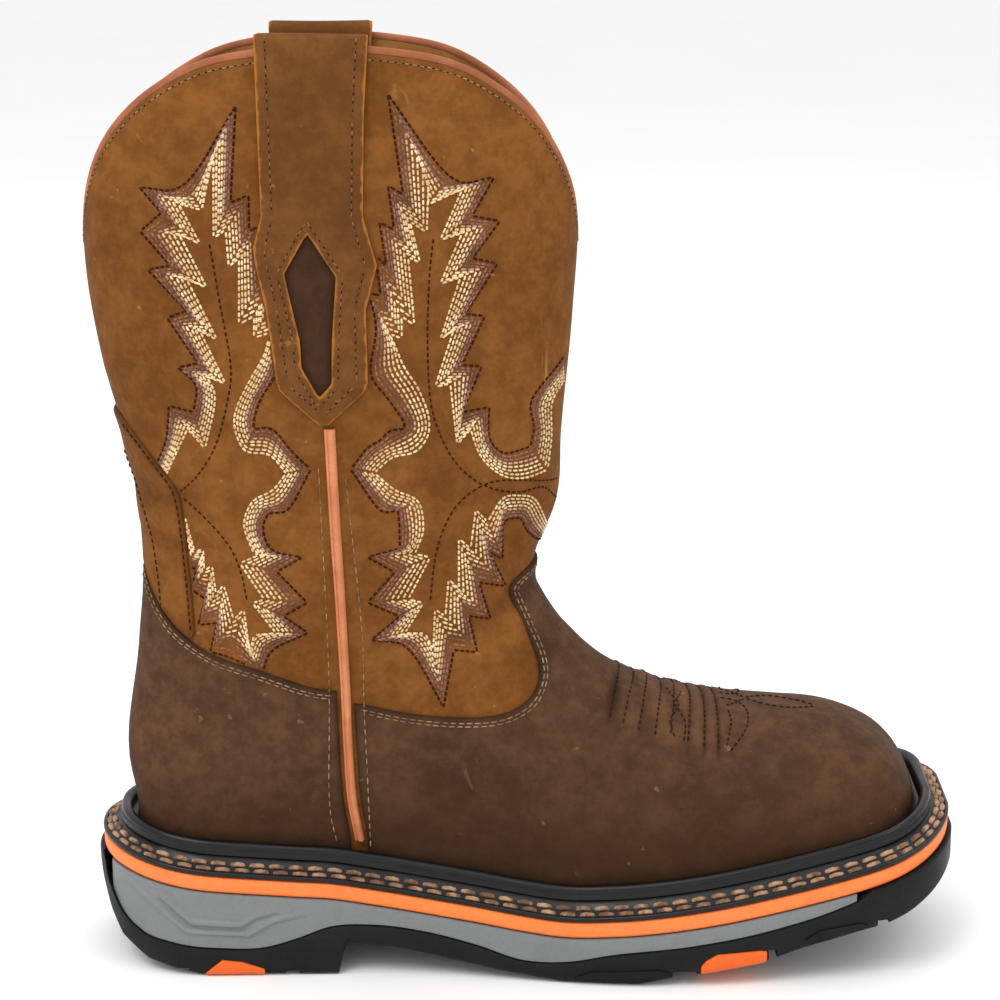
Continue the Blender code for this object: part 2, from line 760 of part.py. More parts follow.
# Upper.
TIP, RINGS = rings()
TIP_NORMAL, NORMALS = outward(TIP[None])[0], outward(RINGS)
last_ring = len(RINGS) - 1
fan_start = len(TOE_FAN) + FOOT_RINGS + 1
FAN_RINGS = len(FAN_LOW) + len(FAN_HIGH)


def leather(name, low, high, paint, rows=None, columns=None):
    """A layer between two offsets from the upper's surface, over some rings and points of each ring."""
    first, last = rows or (0, last_ring)
    pick = np.arange(AROUND) if columns is None else np.arange(columns[0], columns[1] + 1) % AROUND
    base, away = RINGS[first : last + 1][:, pick], NORMALS[first : last + 1][:, pick]
    tips = (TIP + TIP_NORMAL * high, TIP + TIP_NORMAL * low) if first == 0 else None
    turned = [j for j, place in enumerate(pick) if place < AROUND // 2]
    return slab(name, base + away * high, base + away * low, paint, columns is None, tips, False, turned)


block_x = np.array([-0.62, *np.linspace(-0.5, 0.5, 81), 0.62]) * SOLE_LENGTH
block_top = np.array([[(x, y, feather(x)) for y in (-0.1, 0.1)] for x in block_x])
block_foot = np.array([[(x, y, -0.02) for y in (-0.1, 0.1)] for x in block_x])
under_upper = slab("under_upper", block_top, block_foot, None, cutter=True)

upper = leather("upper", -WALL, 0.0, shaft_leather)
combine(upper, under_upper, "DIFFERENCE")

vamp = leather("vamp", GAP, GAP + OVERLAY, vamp_leather, rows=(0, fan_start + FAN_RINGS - 1))
combine(vamp, prism("vamp_outline", side_points(VAMP_EDGE), -0.1, 0.1), "INTERSECT")
combine(vamp, under_upper, "DIFFERENCE")

side_columns = AROUND // 4 + 4
counter = leather(
    "counter", GAP, GAP + OVERLAY, vamp_leather,
    rows=(fan_start + 2, fan_start + FAN_RINGS - 1), columns=(-side_columns, side_columns),
)
combine(counter, prism("counter_outline", side_points(COUNTER_EDGE), -0.1, 0.1), "INTERSECT")
combine(counter, under_upper, "DIFFERENCE")

stay = leather(
    "back_stay", GAP, GAP + OVERLAY, shaft_leather,
    rows=(fan_start + FAN_RINGS - 5, fan_start + FAN_RINGS + 2), columns=(-7, 7),
)
combine(stay, prism("back_stay_outline", side_points(STAY_EDGE), -0.1, 0.1), "INTERSECT")

# Collar binding: a cord on the upper's rim, set in the middle of the wall.
rim = RINGS[-1] - NORMALS[-1] * WALL / 2
flat_away = NORMALS[-1] * np.array([1.0, 1.0, 0.0])
flat_away /= np.linalg.norm(flat_away, axis=1)[:, None]
after, before = np.roll(rim, -1, 0), np.roll(rim, 1, 0)
along_rim = (after - before) / np.linalg.norm(after - before, axis=1)[:, None]
up_rim = np.cross(flat_away, along_rim)
up_rim *= np.sign(up_rim[:, 2])[:, None]
up_rim /= np.linalg.norm(up_rim, axis=1)[:, None]
half = CORD_WIDTH / 2
body = CORD_HEIGHT - half
profile = [(-half, GAP), (half, GAP), (half, GAP + body)]
profile += [(half * math.cos(a), GAP + body + half * math.sin(a)) for a in (0.8, 1.57, 2.34)]
profile += [(-half, GAP + body)]
cord_rows = [rim + flat_away * u + up_rim * v for u, v in profile]
data = bmesh.new()
stitched_grid(data, cord_rows + [cord_rows[0]], True)
bmesh.ops.remove_doubles(data, verts=data.verts, dist=1e-6)
finish(data, "collar_binding", edge_leather)


# Straps and piping follow the upper's side.
corners = [Vector(point) for point in RINGS.reshape(-1, 3)]
facets = []
for i in range(last_ring):
    for j in range(AROUND):
        a, b = i * AROUND + j, i * AROUND + (j + 1) % AROUND
        c, d = b + AROUND, a + AROUND
        facets += [(a, b, c), (a, c, d)] if j < AROUND // 2 else [(a, b, d), (b, c, d)]
SKIN = BVHTree.FromPolygons(corners, facets)


def side_of_upper(x, z, side):
    """Distance of the upper's facets from the middle plane, on one side (-1 lateral, +1 medial)."""
    x, z = np.broadcast_arrays(np.asarray(x, float), np.asarray(z, float))
    inwards = Vector((0, -side, 0))
    starts = [Vector((a, side * 0.2, b)) for a, b in zip(x.ravel(), z.ravel())]
    found = [SKIN.ray_cast(start, inwards)[0] for start in starts]
    return np.array([abs(point.y) for point in found]).reshape(x.shape)


def strap_edges(level):
    rows = np.array(STRAP_OUTLINE)[::-1]
    back = np.interp(level, rows[:, 0], rows[:, 1])
    front = np.interp(level, rows[:, 0], rows[:, 2])
    return SHAFT_BACK * SOLE_LENGTH + back * SHAFT_DEPTH, SHAFT_BACK * SOLE_LENGTH + front * SHAFT_DEPTH


def strap_path():
    """Middle of the strap's thickness, tip to tail: (offset from the surface, height, turn outwards)."""
    crest = SHAFT_HEIGHT + GAP + CORD_HEIGHT - CORD_WIDTH / 2
    levels = sorted(row[0] * SHAFT_HEIGHT for row in STRAP_OUTLINE[1:])
    close, loose = GAP + STRAP / 2, STRAP_FOLD - WALL / 2
    path = []
    for low, high in zip(levels, levels[1:] + [crest - 0.004]):
        steps = max(1, round((high - low) / 0.015))
        path += [low + (high - low) * i / steps for i in range(steps)]
    path = [(close + (loose - close) * smoothstep(crest - 0.03, crest - 0.006, z), z, 0.0) for z in path]
    for a in np.linspace(0, math.pi, 6):
        path.append((STRAP_FOLD * math.cos(a) - WALL / 2, crest + STRAP_FOLD * math.sin(a), a))
    for z in np.linspace(crest - 0.008, crest - STRAP_TAIL, 4):
        settled = smoothstep(crest - 0.03, crest - 0.006, z)
        path.append((-WALL - close + (close + WALL - STRAP_FOLD - WALL / 2) * settled, z, math.pi))
    return path


def strap_layer(name, path, side, thickness, paint):
    """A strip of leather across the strap's width, along a path."""
    grids = []
    for half_thickness in (thickness / 2, -thickness / 2):
        rows = []
        for offset, z, turn in path:
            back, front = strap_edges(z / SHAFT_HEIGHT)
            x = np.linspace(float(back), float(front), STRAP_ACROSS)
            y = side_of_upper(x, np.minimum(z, SHAFT_HEIGHT - 0.006), side)
            y = y + offset + half_thickness * math.cos(turn)
            height = np.full(STRAP_ACROSS, z + half_thickness * math.sin(turn))
            rows.append(np.stack([x, side * y, height], 1))
        grids.append(np.array(rows))
    return slab(name, grids[0], grids[1], paint)


window = [
    (SHAFT_BACK * SOLE_LENGTH + x * SHAFT_DEPTH, z * SHAFT_HEIGHT) for x, z in WINDOW
]
for side, word in ((-1, "lateral"), (1, "medial")):
    near, far = sorted((side * 0.02, side * 0.08))
    strap = strap_layer("pull_strap_" + word, strap_path(), side, STRAP, strap_leather)
    combine(strap, prism("strap_window_" + word, grown(window, GAP), near, far), "DIFFERENCE")
    levels = np.linspace(0.630, 0.835, 5) * SHAFT_HEIGHT
    flat = [(GAP + INLAY / 2, z, 0.0) for z in levels]
    inlay = strap_layer("strap_inlay_" + word, flat, side, INLAY, vamp_leather)
    combine(inlay, prism("inlay_outline_" + word, window, near, far), "INTERSECT")

    low, high = SEAM[0][0] * SHAFT_HEIGHT, SEAM[-1][0] * SHAFT_HEIGHT
    z = np.linspace(low, high, 14)
    x = SEAM_LINE(z / SHAFT_HEIGHT)
    foot = feather(x[0]) + GAP
    z[0] = max(z[0], foot)
    section = [(-0.5, 0.0), (-0.5, 0.6), (-0.26, 1.0), (0.26, 1.0), (0.5, 0.6), (0.5, 0.0)]
    grid = []
    for u, v in section:
        across = x + u * SEAM_WIDTH
        base = np.maximum(side_of_upper(across, z, side), side_of_upper(x, z, side))
        grid.append(np.stack([across, side * (base + 2 * GAP + v * (SEAM_RISE - 2 * GAP)), z], 1))
    data = bmesh.new()
    vertices = stitched_grid(data, grid, False)
    for i in range(len(z) - 1):
        data.faces.new([vertices[0][i], vertices[-1][i], vertices[-1][i + 1], vertices[0][i + 1]])
    for i in (0, -1):
        data.faces.new([row[i] for row in vertices])
    finish(data, "side_piping_" + word, edge_leather)

# Sole.
outsole = plate(
    "outsole",
    [
        (0.0022, tread),
        (0.0, lambda x: tread(x) + 0.0022),
        (0.0, lambda x: outsole_top(x) - 0.0006),
        (0.0006, outsole_top),
    ],
    black_rubber, steps=TREAD_STEPS,
)
data = bmesh.new()
for along, width, depth in GROOVES:
    x = (along - 0.5) * SOLE_LENGTH
    low, high = sorted(float(tread(np.array(x + s * width * SOLE_LENGTH / 2))) for s in (-1, 1))
    made = bmesh.ops.create_cube(data, size=1.0)["verts"]
    top = (low + high) / 2 + depth * HEEL_STACK
    bmesh.ops.scale(data, verts=made, vec=(width * SOLE_LENGTH, 0.2, top + 0.02))
    bmesh.ops.translate(data, verts=made, vec=(x, 0, (top - 0.02) / 2))
combine(outsole, finish(data, "tread_grooves", cutter=True), "DIFFERENCE")

for number, shape in enumerate(PADS, 1):
    for side, word in ((-1, "lateral"), (1, "medial")):
        near, far = sorted((side * 0.03, side * 0.08))
        name = f"pad_{number}_{word}"
        pad = plate(
            name,
            [
                (0.0032, lambda x: tread(x) + 0.0006),
                (-PAD_RISE, lambda x: tread(x) + 0.0026),
                (-PAD_RISE, lambda x: tread(x) + 0.007),
            ],
            None, shape[0][0] - 0.08, shape[-1][0] + 0.08, True, TREAD_STEPS,
        )
        combine(pad, prism(name + "_outline", tread_points(shape), near, far), "INTERSECT")
        combine(outsole, pad, "UNION")

for name, shape in (("heel_insert", HEEL_INSERT), ("forefoot_insert", TOE_INSERT)):
    corners = tread_points(shape)
    for side, word in ((-1, "lateral"), (1, "medial")):
        widest = LATERAL(shape[2][0]) if side < 0 else MEDIAL(shape[2][0])
        inner = side * (float(widest) - INSERT_DEPTH)
        near, far = sorted((inner - side * GAP, side * 0.08))
        pocket = prism(name + "_pocket_" + word, grown(corners, GAP), near, far)
        combine(outsole, pocket, "DIFFERENCE")
        near, far = sorted((inner, side * 0.08))
        insert = plate(
            name + "_" + word,
            [
                (0.0012, tread),
                (-INSERT_RISE, lambda x: tread(x) + 0.0018),
                (-INSERT_RISE, lambda x: tread(x) + 0.016),
            ],
            orange_insert, shape[0][0] - 0.05, shape[-1][0] + 0.08, steps=TREAD_STEPS,
        )
        combine(insert, prism(name + "_outline_" + word, corners, near, far), "INTERSECT")

midsole = plate(
    "midsole",
    [
        (MIDSOLE_INSET, midsole_foot),
        (MIDSOLE_INSET + 0.0004, lambda x: (midsole_foot(x) + band_foot(x) - GAP) / 2),
        (MIDSOLE_INSET, lambda x: band_foot(x) - GAP),
    ],
    grey_foam, MIDSOLE_BACK, MIDSOLE_TIP, steps=(MIDSOLE_TIP,),
)
for number, line in enumerate(RIBS, 1):
    line = [((along - 0.5) * SOLE_LENGTH, height * HEEL_STACK) for along, height in line]
    corners = stripe(line, RIB_WIDTH)
    inset = MIDSOLE_INSET - RIB_RISE
    rise = [(inset, midsole_foot), (inset, lambda x: band_foot(x) - GAP)]
    for side, word in ((-1, "lateral"), (1, "medial")):
        near, far = sorted((side * 0.01, side * 0.08))
        name = f"rib_{number}_{word}"
        rib = plate(name, rise, None, MIDSOLE_BACK, 0.36, cutter=True)
        combine(rib, prism(name + "_outline", corners, near, far), "INTERSECT")
        combine(midsole, rib, "UNION")

band = plate(
    "midsole_band",
    [
        (EDGE_INSET + 0.0005, band_foot),
        (EDGE_INSET, lambda x: band_foot(x) + 0.0012),
        (EDGE_INSET, lambda x: band_top(x) - 0.0012),
        (EDGE_INSET + 0.0005, band_top),
    ],
    orange_band,
)


def above_band(rise):
    return lambda x: band_top(x) + GAP + rise


bead_inset = VAMP_INSET - 6 * GAP - BEAD_RADIUS
bead_rise = FLANGE + 0.0016
bead = [
    (bead_inset - BEAD_RADIUS * math.cos(a), above_band(bead_rise + BEAD_RADIUS * math.sin(a)))
    for a in (-0.5, 0.5, 1.57, 2.6)
]
ring_plate(
    "welt",
    [
        (TONGUE_INSET, above_band(0.0)),
        (EDGE_INSET + 0.0003, above_band(0.0)),
        (EDGE_INSET - 0.0003, above_band(0.0012)),
        (EDGE_INSET + 0.0004, above_band(0.0025)),
        (bead_inset - BEAD_RADIUS * 0.95, above_band(bead_rise - 0.0024)),
    ]
    + bead
    + [(VAMP_INSET - 6 * GAP, above_band(FLANGE)), (TONGUE_INSET, above_band(FLANGE))],
    black_rubber,
)

plate(
    "insole",
    [
        (TONGUE_INSET + 0.0006, above_band(0.0)),
        (TONGUE_INSET + 0.0006, above_band(FLANGE + GAP)),
        (FOOTBED_INSET, above_band(FLANGE + GAP)),
        (FOOTBED_INSET, above_band(FLANGE + GAP + FOOTBED)),
    ],
    board,
)
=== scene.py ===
"""The looks of a right western work boot: leather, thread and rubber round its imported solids.

X runs from heel to toe, +Y is the inner (medial) side of the foot and +Z is up, in metres. Leather
pieces start as flat grids. Each is laid over the form of the last, cut to its pattern and thickened.
"""

import math

import bmesh
import bpy
import numpy as np
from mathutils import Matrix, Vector
from mathutils.bvhtree import BVHTree


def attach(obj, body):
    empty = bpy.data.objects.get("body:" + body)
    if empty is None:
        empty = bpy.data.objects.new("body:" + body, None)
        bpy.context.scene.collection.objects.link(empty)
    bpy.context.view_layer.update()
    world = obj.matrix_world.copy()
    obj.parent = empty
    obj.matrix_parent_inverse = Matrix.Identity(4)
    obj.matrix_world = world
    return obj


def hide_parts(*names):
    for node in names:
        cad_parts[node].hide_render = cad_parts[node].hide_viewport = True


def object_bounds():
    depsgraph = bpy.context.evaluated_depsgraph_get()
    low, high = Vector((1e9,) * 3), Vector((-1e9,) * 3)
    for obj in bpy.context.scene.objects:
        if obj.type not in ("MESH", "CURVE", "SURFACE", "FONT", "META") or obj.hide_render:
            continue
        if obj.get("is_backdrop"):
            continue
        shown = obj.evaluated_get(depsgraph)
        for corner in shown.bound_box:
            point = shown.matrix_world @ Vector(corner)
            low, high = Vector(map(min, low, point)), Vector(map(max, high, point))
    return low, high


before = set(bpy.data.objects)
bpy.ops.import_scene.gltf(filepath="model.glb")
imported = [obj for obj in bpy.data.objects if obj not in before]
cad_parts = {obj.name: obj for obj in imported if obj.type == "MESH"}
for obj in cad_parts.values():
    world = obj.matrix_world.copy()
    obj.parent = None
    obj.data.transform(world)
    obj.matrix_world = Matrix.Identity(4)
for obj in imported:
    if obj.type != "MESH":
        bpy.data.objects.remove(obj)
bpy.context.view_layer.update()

bpy.ops.object.camera_add(
    location=(-0.0386, -0.855, 0.3746), rotation=(math.radians(76.17), 0, math.radians(-1.93))
)
camera = bpy.context.object
camera.data.lens = 88.2
camera.data.sensor_width = 36.0
bpy.context.scene.camera = camera

MM = 0.001
SIDES = ((-1, "lateral"), (1, "medial"))  # the sign of Y on each side, and the side's name
ON_LINE = 2e-6  # points closer than this are one

# Driving dimensions, in metres.
SOLE_LENGTH = 0.3145  # outsole, back of the heel to the tip of the toe
SOLE_WIDTH = 0.114  # outsole across the ball of the foot
HEEL_STACK = 0.0345  # floor to the foot of the coloured band, at the front of the heel
SHAFT_HEIGHT = 0.3255  # floor to the collar at the side seams
SHAFT_DEPTH = 0.1715  # shaft at its widest, front to back
SHAFT_WIDTH = 0.090  # shaft at the collar, side to side
SHAFT_BACK = -0.491  # the shaft's rearmost line, as a share of SOLE_LENGTH from the middle
COLLAR_DIP = 0.066  # how far the collar drops from the side seams to the front and back
INSTEP_HEIGHT = 0.108  # floor to the vamp's ridge where it meets the shaft
GAP = 0.0003  # clearance between pieces that touch

# Thicknesses.
WALL = 0.0021  # shaft leather with its lining
OVERLAY = 0.0013  # vamp, counter and back stay
STRAP = 0.0020
INLAY = 0.0008
BAND = 0.0057
FLANGE = 0.0070  # the welt's tongue under the upper
FOOTBED = 0.0045  # the insole above the welt's tongue

# How far each line lies inside the outsole's own outline.
MIDSOLE_INSET = 0.0012
EDGE_INSET = 0.0017  # band and welt
WELT_REACH = 0.0125  # welt, from its edge to the vamp
BEAD_RADIUS = 0.0021
VAMP_INSET = EDGE_INSET + WELT_REACH
UPPER_INSET = VAMP_INSET + OVERLAY + GAP
TONGUE_INSET = UPPER_INSET + 0.0060
FOOTBED_INSET = UPPER_INSET + WALL + 0.0034

# Outsole plan: half widths as shares of SOLE_WIDTH, before the ends are rounded.
# columns: along, lateral, medial
PLAN = (
    (0.00, 0.362, 0.355),
    (0.12, 0.370, 0.360),
    (0.22, 0.372, 0.354),
    (0.34, 0.382, 0.325),
    (0.43, 0.410, 0.328),
    (0.53, 0.458, 0.382),
    (0.62, 0.490, 0.455),
    (0.71, 0.500, 0.498),
    (0.80, 0.490, 0.500),
    (0.90, 0.470, 0.472),
    (1.00, 0.455, 0.448),
)
HEEL_ROUND, HEEL_POWER = 0.140, 2.15
TOE_ROUND, TOE_POWER = 0.149, 2.7
TOE_SKEW = 0.010  # the inner corner of the toe stands this far ahead of the middle

# Side view of the sole: heights as shares of HEEL_STACK.
# columns: along, midsole_foot, band_foot
LEVELS = (
    (0.000, 1.080, 1.100),
    (0.014, 0.860, 1.075),
    (0.030, 0.600, 1.050),
    (0.055, 0.420, 1.010),
    (0.090, 0.345, 0.960),
    (0.140, 0.300, 0.905),
    (0.200, 0.305, 0.860),
    (0.235, 0.400, 0.838),
    (0.270, 0.520, 0.818),
    (0.320, 0.545, 0.750),
    (0.380, 0.480, 0.665),
    (0.440, 0.350, 0.585),
    (0.485, 0.225, 0.525),
    (0.540, 0.225, 0.478),
    (0.590, 0.320, 0.500),
    (0.680, 0.430, 0.600),
    (0.760, 0.570, 0.735),
    (0.830, 0.750, 0.875),
    (0.880, 0.925, 0.985),
    (0.940, 1.110, 1.130),
    (1.000, 1.290, 1.310),
)
MIDSOLE_BACK, MIDSOLE_TIP = 0.014, 0.872  # where the midsole's visible side begins and ends
STEP = 0.004

# Underside of the outsole, in straight steps. columns: along, tread
TREAD = (
    (0.000, 0.980),
    (0.008, 0.720),
    (0.017, 0.500),
    (0.032, 0.275),
    (0.064, 0.105),
    (0.098, 0.045),
    (0.128, 0.000),
    (0.281, 0.000),
    (0.286, 0.230),
    (0.291, 0.370),
    (0.300, 0.335),
    (0.356, 0.270),
    (0.410, 0.175),
    (0.460, 0.085),
    (0.535, 0.000),
    (0.620, 0.000),
    (0.650, 0.065),
    (0.696, 0.127),
    (0.756, 0.224),
    (0.806, 0.380),
    (0.873, 0.540),
    (0.906, 0.600),
    (0.935, 0.675),
    (0.965, 0.790),
    (1.000, 0.960),
)

# Grooves across the tread between the lugs.
# columns: along, width (of SOLE_LENGTH), depth (of HEEL_STACK)
GROOVES = (
    (0.105, 0.012, 0.040),
    (0.228, 0.016, 0.055),
    (0.671, 0.028, 0.070),
    (0.770, 0.010, 0.120),
    (0.896, 0.014, 0.075),
)

# Coloured inserts and plain pads in the edge of the tread: side view, from the tread's own line.
# columns: along, height (of HEEL_STACK)
HEEL_INSERT = (
    (0.129, 0.0), (0.130, 0.035), (0.149, 0.175), (0.172, 0.150), (0.197, 0.070), (0.197, 0.0),
)
TOE_INSERT = (
    (0.691, 0.0), (0.6885, 0.095), (0.694, 0.155), (0.707, 0.205), (0.755, 0.160), (0.763, 0.130),
    (0.763, 0.0),
)
PADS = (
    (
        (0.550, 0.0), (0.546, 0.060), (0.564, 0.139), (0.593, 0.152), (0.642, 0.135), (0.652, 0.085),
        (0.645, 0.0),
    ),
    (
        (0.812, 0.0), (0.807, 0.110), (0.823, 0.165), (0.868, 0.115), (0.880, 0.060), (0.875, 0.0),
    ),
)
PAD_RISE, INSERT_RISE = 0.0007, 0.0006
INSERT_DEPTH = 0.013

# Ribs on the midsole's heel, in side view. columns: along, height (of HEEL_STACK)
RIBS = (
    (
        (0.036, 0.960), (0.080, 0.690), (0.108, 0.485), (0.180, 0.445), (0.209, 0.600),
        (0.255, 0.690),
    ),
    (
        (0.080, 0.840), (0.114, 0.580), (0.172, 0.550), (0.187, 0.640), (0.212, 0.705),
    ),
)
RIB_RISE = 0.0008

# Foot of the upper. columns: along the sole, ridge (share of INSTEP_HEIGHT), rounding (of SOLE_WIDTH)
FOOT = (
    (0.00, 1.20, 0.30),
    (0.40, 1.20, 0.31),
    (0.50, 1.13, 0.34),
    (0.56, 1.025, 0.36),
    (0.61, 0.930, 0.37),
    (0.67, 0.858, 0.38),
    (0.73, 0.812, 0.38),
    (0.79, 0.790, 0.370),
    (0.85, 0.766, 0.340),
    (0.90, 0.728, 0.318),
    (1.00, 0.610, 0.310),
)
FOOT_POWER = 2.15
DEPTH_POWER, DEPTH_SHARE = 6.0, 1.178  # the share makes a straight edge count as itself
SIDE_BULGE, BULGE_FROM, BULGE_TO = 0.0038, 0.0030, 0.026

# Shaft. columns: height (share of SHAFT_HEIGHT), back and front (shares of SHAFT_DEPTH from
# SHAFT_BACK), width (share of SHAFT_WIDTH)
SHAFT = (
    (0.098, 0.098, 0.880, 0.54),
    (0.195, 0.094, 0.905, 0.61),
    (0.283, 0.088, 0.930, 0.68),
    (0.351, 0.090, 0.935, 0.735),
    (0.410, 0.102, 0.908, 0.765),
    (0.449, 0.106, 0.918, 0.790),
    (0.507, 0.096, 0.960, 0.830),
    (0.585, 0.070, 0.972, 0.885),
    (0.654, 0.034, 0.982, 0.930),
    (0.722, 0.012, 0.992, 0.965),
    (0.800, 0.000, 1.003, 0.990),
    (0.878, 0.006, 0.996, 1.000),
    (1.000, 0.024, 0.985, 1.000),
)
SHAFT_POWER = 2.4
HEEL_BLEND, INSTEP_BLEND = 0.004, 0.010

# Collar line. columns: place from the front or back (0) to the side seam (1), share of COLLAR_DIP
COLLAR = (
    (0.00, 0.00),
    (0.08, 0.006),
    (0.19, 0.085),
    (0.30, 0.235),
    (0.47, 0.455),
    (0.63, 0.65),
    (0.77, 0.81),
    (0.88, 0.924),
    (1.00, 1.00),
)

# Edges of the overlays in side view: shares of SOLE_LENGTH from the middle, and of SHAFT_HEIGHT.
VAMP_EDGE = (
    (-0.1850, 0.020),
    (-0.1850, 0.135),
    (-0.1925, 0.190),
    (-0.1962, 0.250),
    (-0.1985, 0.303),
    (-0.1380, 0.289),
    (-0.0810, 0.283),
    (-0.0360, 0.285),
    (-0.0055, 0.298),
    (0.0085, 0.317),
    (0.0095, 0.340),
    (-0.0075, 0.381),
    (-0.0230, 0.417),
    (-0.0150, 0.431),
    (0.0060, 0.442),
    (0.0400, 0.462),
    (0.7000, 0.462),
    (0.7000, 0.020),
)
COUNTER_EDGE = (
    (-0.2040, 0.020),
    (-0.2040, 0.130),
    (-0.2118, 0.190),
    (-0.2155, 0.250),
    (-0.2175, 0.317),
    (-0.2498, 0.322),
    (-0.3030, 0.340),
    (-0.3520, 0.355),
    (-0.3900, 0.376),
    (-0.4115, 0.398),
    (-0.4240, 0.420),
    (-0.4380, 0.452),
    (-0.6000, 0.480),
    (-0.6000, 0.020),
)
STAY_EDGE = (
    (-0.6000, 0.4815),
    (-0.4380, 0.4538),
    (-0.4235, 0.4218),
    (-0.4105, 0.3995),
    (-0.3890, 0.3780),
    (-0.3740, 0.3700),
    (-0.3790, 0.4520),
    (-0.3880, 0.5320),
    (-0.4150, 0.5730),
    (-0.4550, 0.6150),
    (-0.6000, 0.6400),
)

# Pull straps: outline in side view, from the collar down to the tip.
# columns: height (share of SHAFT_HEIGHT), back and front edges (shares of SHAFT_DEPTH from SHAFT_BACK)
STRAP_OUTLINE = (
    (1.017, 0.367, 0.584),
    (0.934, 0.370, 0.574),
    (0.836, 0.374, 0.570),
    (0.804, 0.357, 0.586),
    (0.786, 0.361, 0.596),
    (0.740, 0.379, 0.573),
    (0.663, 0.397, 0.575),
    (0.654, 0.402, 0.570),
    (0.618, 0.477, 0.497),
)
STRAP_TAIL = 0.052  # the leg inside the shaft
STRAP_FOLD = 0.00285  # radius of the fold over the collar
STRAP_ACROSS = 27  # points from its back edge to its front edge
WINDOW = (
    (0.417, 0.777), (0.462, 0.818), (0.515, 0.774), (0.505, 0.707),
    (0.503, 0.662), (0.479, 0.648), (0.447, 0.679), (0.445, 0.707),
)

CORD_WIDTH, CORD_HEIGHT = 0.0023, 0.0030

# Side seam piping. columns: height (of SHAFT_HEIGHT), along (of SOLE_LENGTH, from the middle)
SEAM = (
    (0.140, -0.1945),
    (0.190, -0.2022),
    (0.250, -0.2058),
    (0.326, -0.2078),
    (0.410, -0.2112),
    (0.530, -0.2166),
    (0.6125, -0.2195),
)
SEAM_WIDTH, SEAM_RISE = 0.0034, 0.0024


def curve(rows, column, scale=1.0):
    """A smooth curve through one column of a table, as a function of the first column."""
    at = np.array([row[0] for row in rows], float)
    value = np.array([row[column] for row in rows], float) * scale
    slope = np.gradient(value, at)

    def read(x):
        x = np.clip(np.asarray(x, float), at[0], at[-1])
        i = np.clip(np.searchsorted(at, x) - 1, 0, len(at) - 2)
        step = at[i + 1] - at[i]
        t = (x - at[i]) / step
        start, end = value[i], value[i + 1]
        early = slope[i] * step - (end - start)
        late = (end - start) - slope[i + 1] * step
        return start + (end - start) * t + t * (1 - t) * ((1 - t) * early + t * late)

    return read


def smoothstep(low, high, x):
    """Goes softly from 0 to 1 while x goes from low to high."""
    t = np.clip((x - low) / (high - low), 0, 1)
    return t * t * (3 - 2 * t)


def share(x):
    """Place along the sole, from 0 at the heel to 1 at the toe."""
    return np.clip(np.asarray(x) / SOLE_LENGTH + 0.5, 0, 1)


def sole_x(along):
    """X of a place along the sole."""
    return (along - 0.5) * SOLE_LENGTH


def shaft_x(part):
    """X of a share of the shaft's depth, from its rearmost line forwards."""
    return SHAFT_BACK * SOLE_LENGTH + part * SHAFT_DEPTH


LATERAL = curve(PLAN, 1, SOLE_WIDTH)
MEDIAL = curve(PLAN, 2, SOLE_WIDTH)
MIDSOLE_FOOT = curve(LEVELS, 1, HEEL_STACK)
BAND_FOOT = curve(LEVELS, 2, HEEL_STACK)
RIDGE = curve(FOOT, 1, INSTEP_HEIGHT)
ROUNDING = curve(FOOT, 2, SOLE_WIDTH)
BACK = curve(SHAFT, 1, SHAFT_DEPTH)
FRONT = curve(SHAFT, 2, SHAFT_DEPTH)
BREADTH = curve(SHAFT, 3, SHAFT_WIDTH / 2)
COLLAR_LINE = curve(COLLAR, 1, COLLAR_DIP)
SEAM_LINE = curve(SEAM, 1, SOLE_LENGTH)


def tread(x):
    rows = np.array(TREAD)
    return np.interp(share(x), rows[:, 0], rows[:, 1]) * HEEL_STACK


def midsole_foot(x):
    return MIDSOLE_FOOT(share(x))


def band_foot(x):
    return BAND_FOOT(share(x))


def band_top(x):
    return band_foot(x) + BAND


def feather(x):
    """Height of the upper's lower edge, just over the welt's tongue."""
    return band_top(x) + FLANGE + 3 * GAP


def outsole_top(x):
    """Top of the outsole: under the midsole, and up to the band behind and ahead of it."""
    turns = (MIDSOLE_BACK - STEP, MIDSOLE_BACK, MIDSOLE_TIP, MIDSOLE_TIP + STEP)
    under = np.interp(share(x), turns, (0, 1, 1, 0))
    return under * midsole_foot(x) + (1 - under) * band_foot(x) - GAP


def end_turns(first, count):
    """Places along the heel and along the toe, closer together where the sole's ends turn."""
    turns = np.cos(np.linspace(first, math.pi / 2, count))
    heel = (1 - turns ** (2 / HEEL_POWER)) * HEEL_ROUND
    toe = 1 - (1 - turns ** (2 / TOE_POWER)) * TOE_ROUND
    return heel, toe


def end_rounding(along):
    """Share of the sole's half width that is left where its heel and toe round off."""
    heel = np.clip(along / HEEL_ROUND, 0, 1)
    toe = np.clip((1 - along) / TOE_ROUND, 0, 1)
    heel = (1 - (1 - heel) ** HEEL_POWER) ** (1 / HEEL_POWER)
    toe = (1 - (1 - toe) ** TOE_POWER) ** (1 / TOE_POWER)
    return heel * toe


